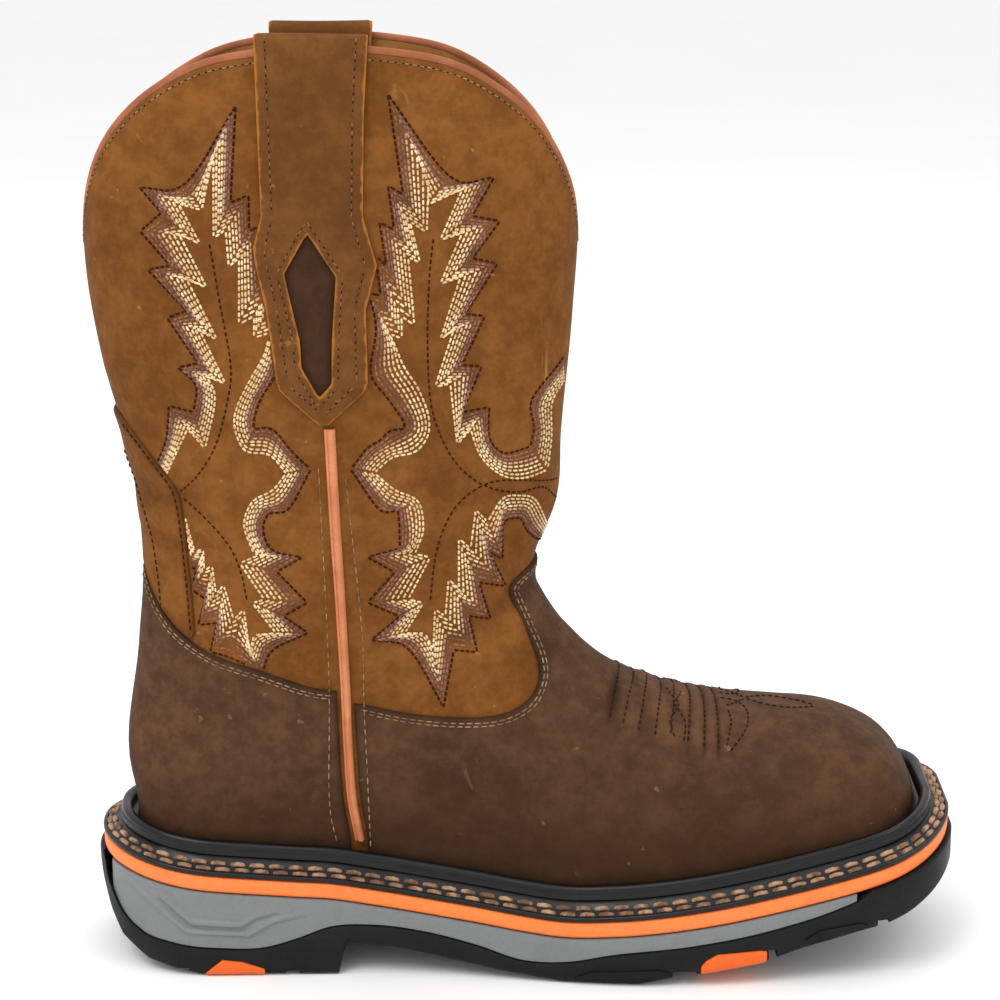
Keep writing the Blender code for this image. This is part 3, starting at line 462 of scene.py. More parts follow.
def edge_lines(inset, along):
    """The sole's plan, moved in by inset: lateral and medial points from heel to toe.

    Inset is one number, or one for each place along the sole.
    """
    closing = end_rounding(along)
    skew = TOE_SKEW * SOLE_LENGTH * smoothstep(MIDSOLE_TIP + STEP, 1.0, along) * closing
    x = sole_x(along)
    lateral = np.stack([x - skew, -LATERAL(along) * closing], 1)
    medial = np.stack([x + skew, MEDIAL(along) * closing], 1)
    loop = np.concatenate([lateral, medial[::-1]])
    tangent = np.roll(loop, -1, 0) - np.roll(loop, 1, 0)
    tangent /= np.linalg.norm(tangent, axis=1)[:, None]
    inward = np.stack([-tangent[:, 1], tangent[:, 0]], 1)
    amount = inset if np.isscalar(inset) else np.concatenate([inset, inset[::-1]])[:, None]
    loop = loop + inward * amount
    return loop[: len(x)], loop[len(x) :][::-1]


def edge_gaps(x, y, start, edge, square):
    """Distance from points to each edge of a line, and the place along that edge from 0 to 1."""
    place = np.stack([x, y], -1)[..., None, :]
    t = np.clip(((place - start) * edge).sum(-1) / square, 0, 1)
    gap = place - (start + t[..., None] * edge)
    return np.sqrt((gap * gap).sum(-1)), t


def within(x, y, start, end, edge):
    """Whether points lie inside a closed outline, by how many of its edges they have ahead."""
    x, y = x[..., None], y[..., None]
    crosses = (start[:, 1] > y) != (end[:, 1] > y)
    rise = np.where(edge[:, 1] == 0, 1e-12, edge[:, 1])
    ahead = x < start[:, 0] + (y - start[:, 1]) * edge[:, 0] / rise
    return (crosses & ahead).sum(-1) % 2 == 1


def plan_depth(loop):
    """How far a plan point lies inside a closed outline; negative outside.

    Deep inside it turns into a soft average, so that the toe's corners leave no crease.
    """
    start, end = loop, np.roll(loop, -1, 0)
    edge = end - start
    spots = np.concatenate([start + edge * t for t in (1 / 6, 1 / 2, 5 / 6)])
    weight = np.tile(np.linalg.norm(edge, axis=1) / 3, 3)

    def read(x, y):
        distance = edge_gaps(x, y, start, edge, (edge * edge).sum(-1))[0].min(-1)
        inside = within(x, y, start, end, edge)
        away = np.linalg.norm(np.stack([x, y], -1)[..., None, :] - spots, axis=-1)
        pull = (weight * away**-DEPTH_POWER).sum(-1) / DEPTH_SHARE
        soft = pull ** (-1 / (DEPTH_POWER - 1))
        soft = distance + (soft - distance) * smoothstep(0.002, 0.014, distance)
        return np.where(inside, soft, -distance)

    return read


CHART_LENGTH, CHART_WIDTH, CHART_CELL = 0.170, 0.066, 0.001  # half sizes, and from point to point


def charted(read):
    """The same depth from a chart of points, read smoothly in between."""
    x = np.arange(-CHART_LENGTH, CHART_LENGTH + CHART_CELL / 2, CHART_CELL)
    y = np.arange(-CHART_WIDTH, CHART_WIDTH + CHART_CELL / 2, CHART_CELL)
    chart = read(*np.meshgrid(x, y, indexing="ij"))

    def weights(t):
        return (
            t * (-0.5 + t * (1 - 0.5 * t)),
            1 + t * t * (1.5 * t - 2.5),
            t * (0.5 + t * (2 - 1.5 * t)),
            t * t * (0.5 * t - 0.5),
        )

    def look_up(px, py):
        u = np.clip((px - x[0]) / CHART_CELL, 1, len(x) - 3)
        v = np.clip((py - y[0]) / CHART_CELL, 1, len(y) - 3)
        i, j = u.astype(int), v.astype(int)
        across, up = weights(u - i), weights(v - j)
        total = 0.0
        for a in range(4):
            for b in range(4):
                total = total + across[a] * up[b] * chart[i + a - 1, j + b - 1]
        return total

    return look_up


heel_turns, toe_turns = end_turns(0.06, 9)
between_turns = np.linspace(HEEL_ROUND, 1 - TOE_ROUND, 16)[1:-1]
foot_along = np.array(sorted([*heel_turns, *between_turns, *toe_turns]))
lateral_foot, medial_foot = edge_lines(UPPER_INSET, foot_along)
FOOT_PLAN = charted(plan_depth(np.concatenate([lateral_foot, medial_foot[::-1]])))


def foot_form(x, y, z):
    """Below zero inside the foot of the upper."""
    rise = z - feather(x)
    depth = FOOT_PLAN(x, y) + SIDE_BULGE * smoothstep(BULGE_FROM, BULGE_TO, rise)
    side = np.maximum(1 - depth / ROUNDING(share(x)), 0)
    height = np.maximum(rise, 0) / (RIDGE(share(x)) - feather(x))
    return ((side**FOOT_POWER + height**FOOT_POWER) ** (1 / FOOT_POWER) - 1) * 0.3 * SOLE_WIDTH


def shaft_form(x, y, z):
    """Below zero inside the shaft; it gives way to the foot near the welt."""
    level = z / SHAFT_HEIGHT
    half = (FRONT(level) - BACK(level)) / 2
    middle = SHAFT_BACK * SOLE_LENGTH + (FRONT(level) + BACK(level)) / 2
    reach = np.abs((x - middle) / half) ** SHAFT_POWER + np.abs(y / BREADTH(level)) ** SHAFT_POWER
    above = smoothstep(0.002, 0.030, z - feather(x))
    return (reach ** (1 / SHAFT_POWER) - 1) * BREADTH(level) + 0.012 * (1 - above)


def upper_form(points):
    """Foot and shaft with a soft join between them: below zero inside."""
    x, y, z = points[..., 0], points[..., 1], points[..., 2]
    foot, shaft = foot_form(x, y, z), shaft_form(x, y, z)
    blend = HEEL_BLEND + (INSTEP_BLEND - HEEL_BLEND) * smoothstep(-0.19 * SOLE_LENGTH, 0, x)
    blend = 0.0005 + blend * smoothstep(0.004, 0.030, z - feather(x))
    meet = np.maximum(blend - np.abs(foot - shaft), 0)
    return np.minimum(foot, shaft) - meet * meet / (4 * blend)


def closed_form(points):
    """The same, closed a little under the upper's lower edge."""
    return np.maximum(upper_form(points), feather(points[..., 0]) - CLOSED_UNDER - points[..., 2])


STRIDE, STRIDES, HALVINGS = 0.004, 60, 16  # the search for the surface, first coarse and then fine


def surface(origins, directions):
    """Where rays from inside the closed form leave it."""
    directions = directions / np.linalg.norm(directions, axis=-1)[..., None]
    near = np.zeros(origins.shape[:-1])
    open_rays = np.ones(near.shape, bool)
    for _ in range(STRIDES):
        outside = closed_form(origins + directions * (near + STRIDE)[..., None]) > 0
        open_rays &= ~outside
        near = np.where(open_rays, near + STRIDE, near)
    far = near + STRIDE
    for _ in range(HALVINGS):
        middle = (near + far) / 2
        outside = closed_form(origins + directions * middle[..., None]) > 0
        near, far = np.where(outside, near, middle), np.where(outside, middle, far)
    return origins + directions * near[..., None]


PROBE = 0.0006  # the step to either side that tells a slope


def outward(points):
    """Direction away from the upper's surface, and down as well on the closed form's floor."""
    slope = np.zeros(points.shape)
    for axis in range(3):
        step = np.zeros(3)
        step[axis] = PROBE
        slope[..., axis] = upper_form(points + step) - upper_form(points - step)
    slope /= np.linalg.norm(slope, axis=-1)[..., None] + 1e-12
    inner = (upper_form(points) < -0.0008)[..., None]
    floor = (points[..., 2] < feather(points[..., 0]) - CLOSED_UNDER + 0.0002)[..., None]
    slope = np.where(floor & inner, 0.0, slope)
    return slope + np.where(floor, np.array([0.0, 0.0, -1.0]), 0.0)


# Rings of the dense sheet that the leather is cut from.
CLOSED_UNDER = 0.030  # how far under the upper's lower edge the form is closed
AROUND = 168  # points in a ring
TOE_CENTRE = (0.3116, 0.174)  # shares of SOLE_LENGTH and SHAFT_HEIGHT
PIVOT = (0.178, 0.510)  # the rings fan out round this point in front of the ankle
FAN_REACH = (0.343, 0.385)  # from the pivot to the rings' centres, first and last
SHAFT_STRETCH = 1.8
TOE_TURNS, FOOT_RINGS, LOW_TURNS, HIGH_TURNS, SHAFT_RINGS = 22, 72, 20, 26, 58


def collar_height(turn):
    """Height of the collar at a turn round the shaft."""
    return SHAFT_HEIGHT - COLLAR_DIP + COLLAR_LINE(np.abs(np.sin(turn)))


def dense_rings():
    """The upper's outer surface as rings of points, from the tip of the toe to the collar.

    Point 0 of each ring lies under the foot or at the back of the shaft, and the points go round by
    the lateral side. The last point of a ring is its first again.
    """
    turn = np.linspace(0, 2 * math.pi, AROUND + 1)
    down, side = np.cos(turn), -np.sin(turn)
    toe = np.array([TOE_CENTRE[0] * SOLE_LENGTH, 0.0, TOE_CENTRE[1] * SHAFT_HEIGHT])
    pivot = np.array([PIVOT[0] * SOLE_LENGTH, 0.0, PIVOT[1] * SHAFT_HEIGHT])
    reach = np.array(FAN_REACH) * SOLE_LENGTH
    origins, directions = [], []

    def add(centre, away, stretch=1.0):
        origins.append(np.broadcast_to(centre, (AROUND + 1, 3)))
        across = side[:, None] * np.array([0.0, 1.0, 0.0])
        directions.append(down[:, None] * np.array(away) * stretch + across)

    for a in np.radians(np.linspace(0.02, 88, TOE_TURNS)):
        ahead = np.full(AROUND + 1, math.cos(a))
        origins.append(np.broadcast_to(toe, (AROUND + 1, 3)))
        directions.append(np.stack([ahead, math.sin(a) * side, -math.sin(a) * down], 1))
    start = pivot + np.array([0.0, 0.0, -reach[0]])
    for t in np.linspace(0, 1, FOOT_RINGS, endpoint=False):
        add(toe + (start - toe) * t, (0.0, 0.0, -1.0))
    heel = -0.5 * SOLE_LENGTH + UPPER_INSET
    drop = pivot[2] - float(feather(heel)) + 0.2 * CLOSED_UNDER
    corner = math.degrees(math.atan2(pivot[0] - heel, drop))
    low_turns = np.linspace(0, corner, LOW_TURNS, endpoint=False)
    for angle in [*low_turns, *np.linspace(corner, 90, HIGH_TURNS)]:
        a = math.radians(angle)
        away = (-math.sin(a), 0.0, -math.cos(a))
        stretch = 1 + (SHAFT_STRETCH - 1) * smoothstep(10, 60, angle)
        add(pivot + np.array(away) * (reach[0] + (reach[1] - reach[0]) * angle / 90), away, stretch)
    for i in range(1, SHAFT_RINGS + 1):
        height = pivot[2] + (collar_height(turn) - pivot[2]) * i / SHAFT_RINGS
        level = height / SHAFT_HEIGHT
        middle = SHAFT_BACK * SOLE_LENGTH + (FRONT(level) + BACK(level)) / 2
        origins.append(np.stack([middle, 0 * middle, height], 1))
        directions.append(np.stack([-down * SHAFT_STRETCH, side, 0 * side], 1))
    return surface(np.array(origins), np.array(directions))


# Soft folds that walking and pulling on leave in the leather, in side view and in millimetres.
# columns: side (-1 lateral, 1 medial, 0 both), height, width, points (x, z)
FOLDS = (
    (0, -0.9, 4.5, ((6, 140), (-8, 131), (-20, 124), (-34, 120))),
    (0, 0.7, 5.0, ((5, 131), (-6, 122), (-16, 115), (-30, 110))),
    (0, -0.6, 4.0, ((14, 122), (4, 112), (-6, 106), (-18, 102))),
    (-1, 0.6, 6.0, ((26, 108), (18, 96), (12, 84))),
    (-1, -0.5, 5.0, ((34, 102), (27, 90), (22, 78), (20, 66))),
    (0, -0.8, 5.0, ((-142, 176), (-130, 172), (-116, 172), (-102, 176))),
    (0, 0.8, 6.0, ((-144, 187), (-130, 184), (-114, 184), (-98, 190))),
    (0, -0.5, 4.0, ((-140, 158), (-126, 155), (-112, 157))),
    (-1, -0.5, 7.0, ((-148, 214), (-136, 209), (-120, 206), (-106, 200))),
    (1, -0.6, 7.0, ((-146, 220), (-130, 213), (-112, 212))),
    (-1, 0.5, 8.0, ((-58, 196), (-48, 182), (-42, 164), (-44, 146))),
    (-1, -0.5, 8.0, ((-46, 205), (-34, 190), (-28, 172), (-30, 150))),
    (1, 0.6, 8.0, ((-60, 200), (-46, 180), (-40, 156))),
    (0, -0.4, 9.0, ((8, 240), (-12, 226), (-30, 216))),
    (-1, -0.35, 9.0, ((-148, 268), (-130, 262), (-112, 262))),
    (-1, 0.4, 10.0, ((-126, 92), (-110, 84), (-92, 82), (-78, 86))),
    (-1, -0.4, 8.0, ((-50, 74), (-30, 68), (-8, 70), (14, 74))),
    (1, -0.5, 8.0, ((-50, 78), (-30, 70), (-6, 70), (18, 76))),
    (0, -0.35, 5.0, ((44, 88), (38, 74), (34, 60))),
    (0, -0.3, 5.0, ((60, 82), (56, 70), (52, 58))),
)


def line_distance(x, z, line):
    """Distance to a line of points in side view, and the place along it from 0 to 1."""
    points = np.array(line, float)
    start, edge = points[:-1], points[1:] - points[:-1]
    size = np.linalg.norm(edge, axis=1)
    distance, t = edge_gaps(x, z, start, edge, size * size)
    nearest = distance.argmin(-1)[..., None]
    along = (np.concatenate([[0], np.cumsum(size)[:-1]]) + t * size) / size.sum()
    pick = np.take_along_axis
    return pick(distance, nearest, -1)[..., 0], pick(along, nearest, -1)[..., 0]


def relief(points):
    """How far the leather's folds and slight waves lift it off the last."""
    x, y, z = points[..., 0] / MM, points[..., 1] / MM, points[..., 2] / MM
    rise = 0.22 * np.sin(x / 13 + z / 31 + 0.7) * np.sin(z / 17 - y / 23)
    rise += 0.14 * np.sin(x / 7.3 - z / 9.1 + y / 12)
    for side, height, width, line in FOLDS:
        distance, along = line_distance(x, z, line)
        on_side = 1.0 if side == 0 else smoothstep(-6, 10, side * y)
        fading = np.sqrt(4 * along * (1 - along))
        rise += height * on_side * np.exp(-((distance / width) ** 2)) * fading
    return rise * MM


def clear_selection():
    """Leaves edit mode and selects nothing."""
    if bpy.context.mode != "OBJECT":
        bpy.ops.object.mode_set(mode="OBJECT")
    bpy.ops.object.select_all(action="DESELECT")


def take_up(obj):
    """Selects this piece alone."""
    clear_selection()
    obj.select_set(True)
    bpy.context.view_layer.objects.active = obj


def places(obj):
    """Where the points of a piece are."""
    found = np.empty(len(obj.data.vertices) * 3, np.float32)
    obj.data.vertices.foreach_get("co", found)
    return found.reshape(-1, 3).astype(float)


def put(obj, points):
    """Moves the points of a piece."""
    obj.data.vertices.foreach_set("co", np.asarray(points, np.float32).ravel())
    obj.data.update()


def read_layer(obj, name, kind="vector"):
    """The values that a layer keeps for the points of a piece."""
    size = 3 if kind == "vector" else 1
    found = np.empty(len(obj.data.vertices) * size, np.float32 if kind != "int" else np.int32)
    obj.data.attributes[name].data.foreach_get("vector" if kind == "vector" else "value", found)
    return found.reshape(-1, 3).astype(float) if kind == "vector" else found


def write_layer(obj, name, values, kind="FLOAT"):
    """Keeps a value with each point of a piece."""
    layer = obj.data.attributes.get(name) or obj.data.attributes.new(name, kind, "POINT")
    word = "vector" if kind == "FLOAT_VECTOR" else "value"
    numbers = np.asarray(values, np.int32 if kind == "INT" else np.float32)
    layer.data.foreach_set(word, numbers.ravel())


def lay_sheet(name, points, away):
    """A plain grid laid out on rows of points. The layer "away" keeps the way out of the foot."""
    rows, columns = points.shape[:2]
    clear_selection()
    bpy.ops.mesh.primitive_grid_add(x_subdivisions=columns - 1, y_subdivisions=rows - 1, size=0.3)
    obj = bpy.context.object
    obj.name = obj.data.name = name
    put(obj, points)
    write_layer(obj, "away", away, "FLOAT_VECTOR")
    return obj


def edit_whole(obj, operator, **settings):
    """Runs one edit-mode operator on all of a piece."""
    take_up(obj)
    bpy.ops.object.mode_set(mode="EDIT")
    bpy.ops.mesh.select_all(action="SELECT")
    operator(**settings)
    bpy.ops.object.mode_set(mode="OBJECT")


def turn_outwards(obj):
    """Makes all faces point out of the piece."""
    edit_whole(obj, bpy.ops.mesh.normals_make_consistent, inside=False)


def join_edges(obj):
    """Merges the seam and the tip of a sheet that closes on itself."""
    edit_whole(obj, bpy.ops.mesh.remove_doubles, threshold=ON_LINE)


def start_extruding(obj):
    """Numbers the points of a sheet and selects them all."""
    write_layer(obj, "grid_point", np.arange(len(obj.data.vertices)), "INT")
    take_up(obj)
    bpy.ops.object.mode_set(mode="EDIT")
    bpy.ops.mesh.select_mode(type="VERT")
    bpy.ops.mesh.select_all(action="SELECT")


def extrude_copy(obj):
    """Extrudes what is selected: which points are new, and the grid point each one comes from."""
    bpy.ops.object.mode_set(mode="EDIT")
    bpy.ops.mesh.extrude_region()
    bpy.ops.object.mode_set(mode="OBJECT")
    new = np.empty(len(obj.data.vertices), bool)
    obj.data.vertices.foreach_get("select", new)
    return new, read_layer(obj, "grid_point", "int")


def end_extruding(obj):
    """Clears the numbers, and turns the new faces the right way."""
    obj.data.attributes.remove(obj.data.attributes["grid_point"])
    turn_outwards(obj)


def trim(obj, field, clear=True):
    """Cuts a sheet along the line where the field is zero, and clears what lies below zero."""
    data = bmesh.new()
    data.from_mesh(obj.data)
    data.verts.ensure_lookup_table()
    value = field(np.array([v.co[:] for v in data.verts]))
    value[np.abs(value) < ON_LINE] = 0.0
    amount = {v: value[i] for i, v in enumerate(data.verts)}
    touched = {}
    for edge in list(data.edges):
        a, b = edge.verts
        if amount[a] * amount[b] < 0:
            touched.update(dict.fromkeys(edge.link_faces))
            made = bmesh.utils.edge_split(edge, a, amount[a] / (amount[a] - amount[b]))[1]
            amount[made] = 0.0
    for face in touched:
        on = [v for v in face.verts if amount[v] == 0.0]
        if len(on) == 2 and not any(on[1] in e.verts for e in on[0].link_edges):
            bmesh.utils.face_split(face, on[0], on[1])
    if clear:
        lost = [f for f in data.faces if min(amount[v] for v in f.verts) < 0]
        bmesh.ops.delete(data, geom=lost, context="FACES")
    data.to_mesh(obj.data)
    data.free()
    obj.data.update()


def thicken(obj, inner, outer):
    """Makes a sheet a layer of leather: the sheet goes to inner, its extruded copy to outer."""
    start_extruding(obj)
    new, twin = extrude_copy(obj)
    put(obj, np.where(new[:, None], outer[twin], inner[twin]))
    write_layer(obj, "face_side", new.astype(float))
    end_extruding(obj)


def smooth(obj, degrees):
    """Shades smoothly over every edge that turns less than this."""
    take_up(obj)
    bpy.ops.object.shade_smooth_by_angle(angle=math.radians(degrees))


def rounded(points, steps=7):
    """A smooth line through points, with some steps between each and the next."""
    p = np.array(points, float)
    p = np.concatenate([[2 * p[0] - p[1]], p, [2 * p[-1] - p[-2]]])
    t = np.linspace(0, 1, steps, endpoint=False)[:, None]
    found = []
    for a, b, c, d in zip(p, p[1:], p[2:], p[3:]):
        found.append(
            b + 0.5 * t * (c - a + t * (2 * a - 5 * b + 4 * c - d + t * (3 * (b - c) + d - a)))
        )
    return np.concatenate([*found, p[-2:-1]])


def pattern_depth(corners):
    """Distance to a pattern's edge in side view: above zero inside it."""
    start = np.array(corners, float)
    edge = np.roll(start, -1, 0) - start
    square = np.maximum((edge * edge).sum(-1), 1e-18)

    def read(points):
        x, z = points[:, 0], points[:, 2]
        distance = edge_gaps(x, z, start, edge, square)[0].min(-1)
        return np.where(within(x, z, start, start + edge, edge), distance, -distance)

    return read


def in_side_view(shares):
    """Points given in shares of SOLE_LENGTH and SHAFT_HEIGHT, in metres."""
    return np.array(shares) * np.array([SOLE_LENGTH, SHAFT_HEIGHT])


def skived(depth, reach=0.0011, least=0.30):
    """Share of a layer's thickness near its cut edge, rounded over."""
    t = np.clip(depth / reach, 0, 1)
    return least + (1 - least) * np.sqrt(1 - (1 - t) ** 2)


def above_feather(points):
    """Height over the upper's lower edge, which the leather just passes."""
    return points[:, 2] - feather(points[:, 0]) + GAP


def paint(obj, *finishes):
    """Gives a piece its finishes."""
    obj.data.materials.clear()
    for finish in finishes:
        obj.data.materials.append(finish)


def ready(obj, slot, *nodes):
    """Rides the piece on the boot, and hides the solids it stands for. The slot is not used."""
    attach(obj, "root")
    if nodes:
        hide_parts(*nodes)
    return obj


class Finish:
    """A procedural finish in Object coordinates, put together node by node."""

    def __init__(self, name, roughness=0.6, **sockets):
        self.made = bpy.data.materials.new(name)
        self.made.use_nodes = True
        self.tree = self.made.node_tree
        self.shader = self.tree.nodes["Principled BSDF"]
        self.shader.inputs["Roughness"].default_value = roughness
        for socket, value in sockets.items():
            self.shader.inputs[socket.replace("_", " ")].default_value = value
        self.place = self.node("ShaderNodeTexCoord").outputs["Object"]
        self.height = None

    def node(self, kind, **settings):
        """A new node with its settings."""
        made = self.tree.nodes.new(kind)
        for name, value in settings.items():
            setattr(made, name, value)
        return made

    def feed(self, socket, value):
        """Links a socket to another node, or gives it a number."""
        if isinstance(value, bpy.types.NodeSocket):
            self.tree.links.new(value, socket)
        else:
            socket.default_value = value

    def stretched(self, scale, turn=(0, 0, 0)):
        """Object coordinates, turned and scaled."""
        mapping = self.node("ShaderNodeMapping")
        self.feed(mapping.inputs["Vector"], self.place)
        mapping.inputs["Scale"].default_value = scale
        mapping.inputs["Rotation"].default_value = turn
        return mapping.outputs["Vector"]

    def noise(self, scale, detail=3.0, rough=0.5, place=None, twist=0.0):
        made = self.node("ShaderNodeTexNoise")
        self.feed(made.inputs["Vector"], place or self.place)
        made.inputs["Scale"].default_value = scale
        made.inputs["Detail"].default_value = detail
        made.inputs["Roughness"].default_value = rough
        made.inputs["Distortion"].default_value = twist
        return made.outputs["Fac"]

    def cells(self, scale):
        made = self.node("ShaderNodeTexVoronoi")
        self.feed(made.inputs["Vector"], self.place)
        made.inputs["Scale"].default_value = scale
        return made.outputs["Distance"]

    def layer(self, name):
        """What a layer of the piece keeps at each point."""
        return self.node("ShaderNodeAttribute", attribute_name=name).outputs["Fac"]

    def ramp(self, value, low, high, start=0.0, end=1.0):
        """Goes softly from start to end while the value goes from low to high."""
        made = self.node("ShaderNodeMapRange", interpolation_type="SMOOTHSTEP")
        self.feed(made.inputs["Value"], value)
        names = ("From Min", "From Max", "To Min", "To Max")
        for name, number in zip(names, (low, high, start, end)):
            made.inputs[name].default_value = number
        return made.outputs["Result"]

    def sum(self, kind, a, b):
        """One step of arithmetic on two values."""
        made = self.node("ShaderNodeMath", operation=kind)
        self.feed(made.inputs[0], a)
        self.feed(made.inputs[1], b)
        return made.outputs[0]

    def blend(self, amount, a, b):
        """Goes from colour a to colour b."""
        made = self.node("ShaderNodeMix", data_type="RGBA")
        self.feed(made.inputs["Factor"], amount)
        for socket, value in ((made.inputs[6], a), (made.inputs[7], b)):
            self.feed(socket, value if isinstance(value, bpy.types.NodeSocket) else (*value, 1.0))
        return made.outputs[2]

    def bump(self, value, depth, strength):
        """Adds fine relief on top of what there is."""
        made = self.node("ShaderNodeBump")
        made.inputs["Strength"].default_value = strength
        made.inputs["Distance"].default_value = depth
        self.feed(made.inputs["Height"], value)
        if self.height:
            self.feed(made.inputs["Normal"], self.height)
        self.height = made.outputs["Normal"]

    def done(self, colour, roughness=None):
        """Joins colour, roughness and relief to the shader."""
        self.feed(self.shader.inputs["Base Color"], colour)
        if roughness is not None:
            self.feed(self.shader.inputs["Roughness"], roughness)
        if self.height:
            self.feed(self.shader.inputs["Normal"], self.height)
        return self.made


def tint(colour):
    """A colour as the eye reads it, 0 to 255, in the numbers that a shader takes."""
    return tuple(
        ((part / 255 + 0.055) / 1.055) ** 2.4 if part > 10 else part / 255 / 12.92 for part in colour
    )


LOW_SHADE_HEIGHTS = 0.036, 0.086  # the painted shade next to the welt begins and ends at these heights


def oiled_leather(name, colours, rim_reach=0.0030, rim_share=0.55, dip=0.0):
    """Oiled nubuck: cloudy colour, fine grain, small scuffs, painted highlight and shade on folds,
    another at cut edges.

    The colours are its dark, middle and light tones, its scuffs and its cut edge. The edge's
    colour goes rim_reach in, and dip darkens the foot of the piece next to the welt as painted shade.
    """
    dark, middle, light, rub, edge = (tint(colour) for colour in colours)
    f = Finish(name, 0.7, Specular_IOR_Level=0.06)
    cloud = f.noise(17, 5, 0.55, twist=0.6)
    patch = f.noise(55, 4, 0.6)
    fine = f.noise(420, 3, 0.65)
    mottle = f.noise(130, 5, 0.7)
    colour = f.blend(f.ramp(cloud, 0.30, 0.70, 0.22, 0.78), dark, light)
    colour = f.blend(f.ramp(patch, 0.30, 0.72, 0.0, 0.55), colour, middle)
    colour = f.blend(f.ramp(fine, 0.35, 0.75, 0.0, 0.30), colour, dark)
    colour = f.blend(f.ramp(mottle, 0.40, 0.66, 0.0, 0.42), colour, dark)
    colour = f.blend(f.ramp(mottle, 0.56, 0.30, 0.0, 0.30), colour, light)
    # painted shade: darker towards the welt, below the light from above
    if dip:
        height = f.node("ShaderNodeSeparateXYZ")
        f.feed(height.inputs[0], f.place)
        colour = f.blend(f.ramp(height.outputs[2], *LOW_SHADE_HEIGHTS, dip, 0.0), colour, dark)
    streaks = f.noise(75, 4, 0.6, f.stretched((1.0, 1.0, 0.32), (0.25, 0.0, 0.5)), 1.2)
    scuffs = f.sum("MULTIPLY", f.ramp(streaks, 0.66, 0.74), f.ramp(f.noise(30, 2), 0.50, 0.66))
    colour = f.blend(f.sum("MULTIPLY", scuffs, 0.38), colour, rub)
    specks = f.ramp(f.noise(190, 2, 0.5), 0.720, 0.765)
    colour = f.blend(f.sum("MULTIPLY", specks, 0.35), colour, rub)
    # painted highlight on the ridges of folds and on the swells between drawn-in stitching
    fold = f.ramp(f.layer("fold"), 0.0001, 0.0007)
    colour = f.blend(f.sum("MULTIPLY", fold, 0.55), colour, light)
    # painted shade in the hollows of folds and along the drawn-in stitching
    hollow = f.ramp(f.layer("fold"), -0.0006, 0.0001, 1.0, 0.0)
    shadow = f.blend(0.55, dark, (0.0, 0.0, 0.0))
    colour = f.blend(f.sum("MULTIPLY", hollow, 0.75), colour, shadow)
    teeth = f.sum("MULTIPLY", f.ramp(f.noise(260, 3), 0.3, 0.7), 0.0007)
    rim = f.ramp(f.sum("ADD", f.layer("edge"), teeth), 0.0005, rim_reach, 1.0, 0.0)
    colour = f.blend(f.sum("MULTIPLY", rim, rim_share), colour, edge)
    grain = f.cells(1150)
    f.bump(f.sum("ADD", f.sum("MULTIPLY", grain, 0.5), f.noise(1500, 3, 0.7)), 0.00011, 0.55)
    f.bump(mottle, 0.0005, 0.35)
    f.bump(scuffs, -0.0001, 0.4)
    rough = f.ramp(f.sum("ADD", cloud, f.sum("MULTIPLY", fine, 0.6)), 0.45, 1.1, 0.58, 0.82)
    return f.done(colour, rough)


def suede_lining(name, colour, deep):
    """Soft, dull leather or cloth in two close tones."""
    colour, deep = tint(colour), tint(deep)
    f = Finish(name, 0.85, Specular_IOR_Level=0.15, Sheen_Weight=0.05)
    cloud = f.noise(40, 4, 0.6)
    mixed = f.blend(f.ramp(cloud, 0.3, 0.7), deep, colour)
    mixed = f.blend(f.ramp(f.noise(900, 2), 0.4, 0.8, 0.0, 0.4), mixed, deep)
    f.bump(f.noise(1300, 4, 0.7), 0.0002, 0.6)
    return f.done(mixed)


def moulded_rubber(name, colour, dusty, rough=0.55, grit=0.25, soil=0.5, gloss=0.4):
    """Rubber or foam: even colour, fine moulded grain and a little dust in soft patches."""
    colour, dusty = tint(colour), tint(dusty)
    f = Finish(name, rough, Specular_IOR_Level=gloss)
    dust = f.sum("MULTIPLY", f.ramp(f.noise(60, 5, 0.65), 0.48, 0.74), soil)
    mixed = f.blend(dust, colour, dusty)
    mixed = f.blend(f.ramp(f.noise(700, 2), 0.45, 0.8, 0.0, 0.30), mixed, dusty)
    scratch = f.ramp(f.noise(120, 3, 0.6, f.stretched((0.12, 1.0, 1.6)), 0.8), 0.68, 0.74)
    mixed = f.blend(f.sum("MULTIPLY", scratch, 0.35), mixed, dusty)
    f.bump(f.noise(1400, 3, 0.6), 0.00012, grit)
    f.bump(f.noise(90, 3, 0.5), 0.0003, 0.2)
    return f.done(mixed, f.ramp(f.noise(45, 4, 0.6), 0.3, 0.7, rough - 0.08, rough + 0.14))


def waxed_thread(name, colour, shade, soft=0.15):
    """Twisted thread: tight slanting plies with painted shade between them, and a slight change of
    tone from stitch to stitch.
    """
    colour, shade = tint(colour), tint(shade)
    f = Finish(name, 0.55, Sheen_Weight=soft, Specular_IOR_Level=soft)
    plies = f.node("ShaderNodeTexWave", wave_type="BANDS", bands_direction="DIAGONAL")
    f.feed(plies.inputs["Vector"], f.place)
    plies.inputs["Scale"].default_value = 620.0
    mixed = f.blend(f.ramp(f.noise(240, 2), 0.35, 0.68), shade, colour)
    # painted shade in the grooves between the plies
    mixed = f.blend(f.ramp(plies.outputs["Fac"], 0.2, 0.8, 0.35, 0.0), mixed, shade)
    f.bump(plies.outputs["Fac"], 0.00012, 0.5)
    return f.done(mixed)


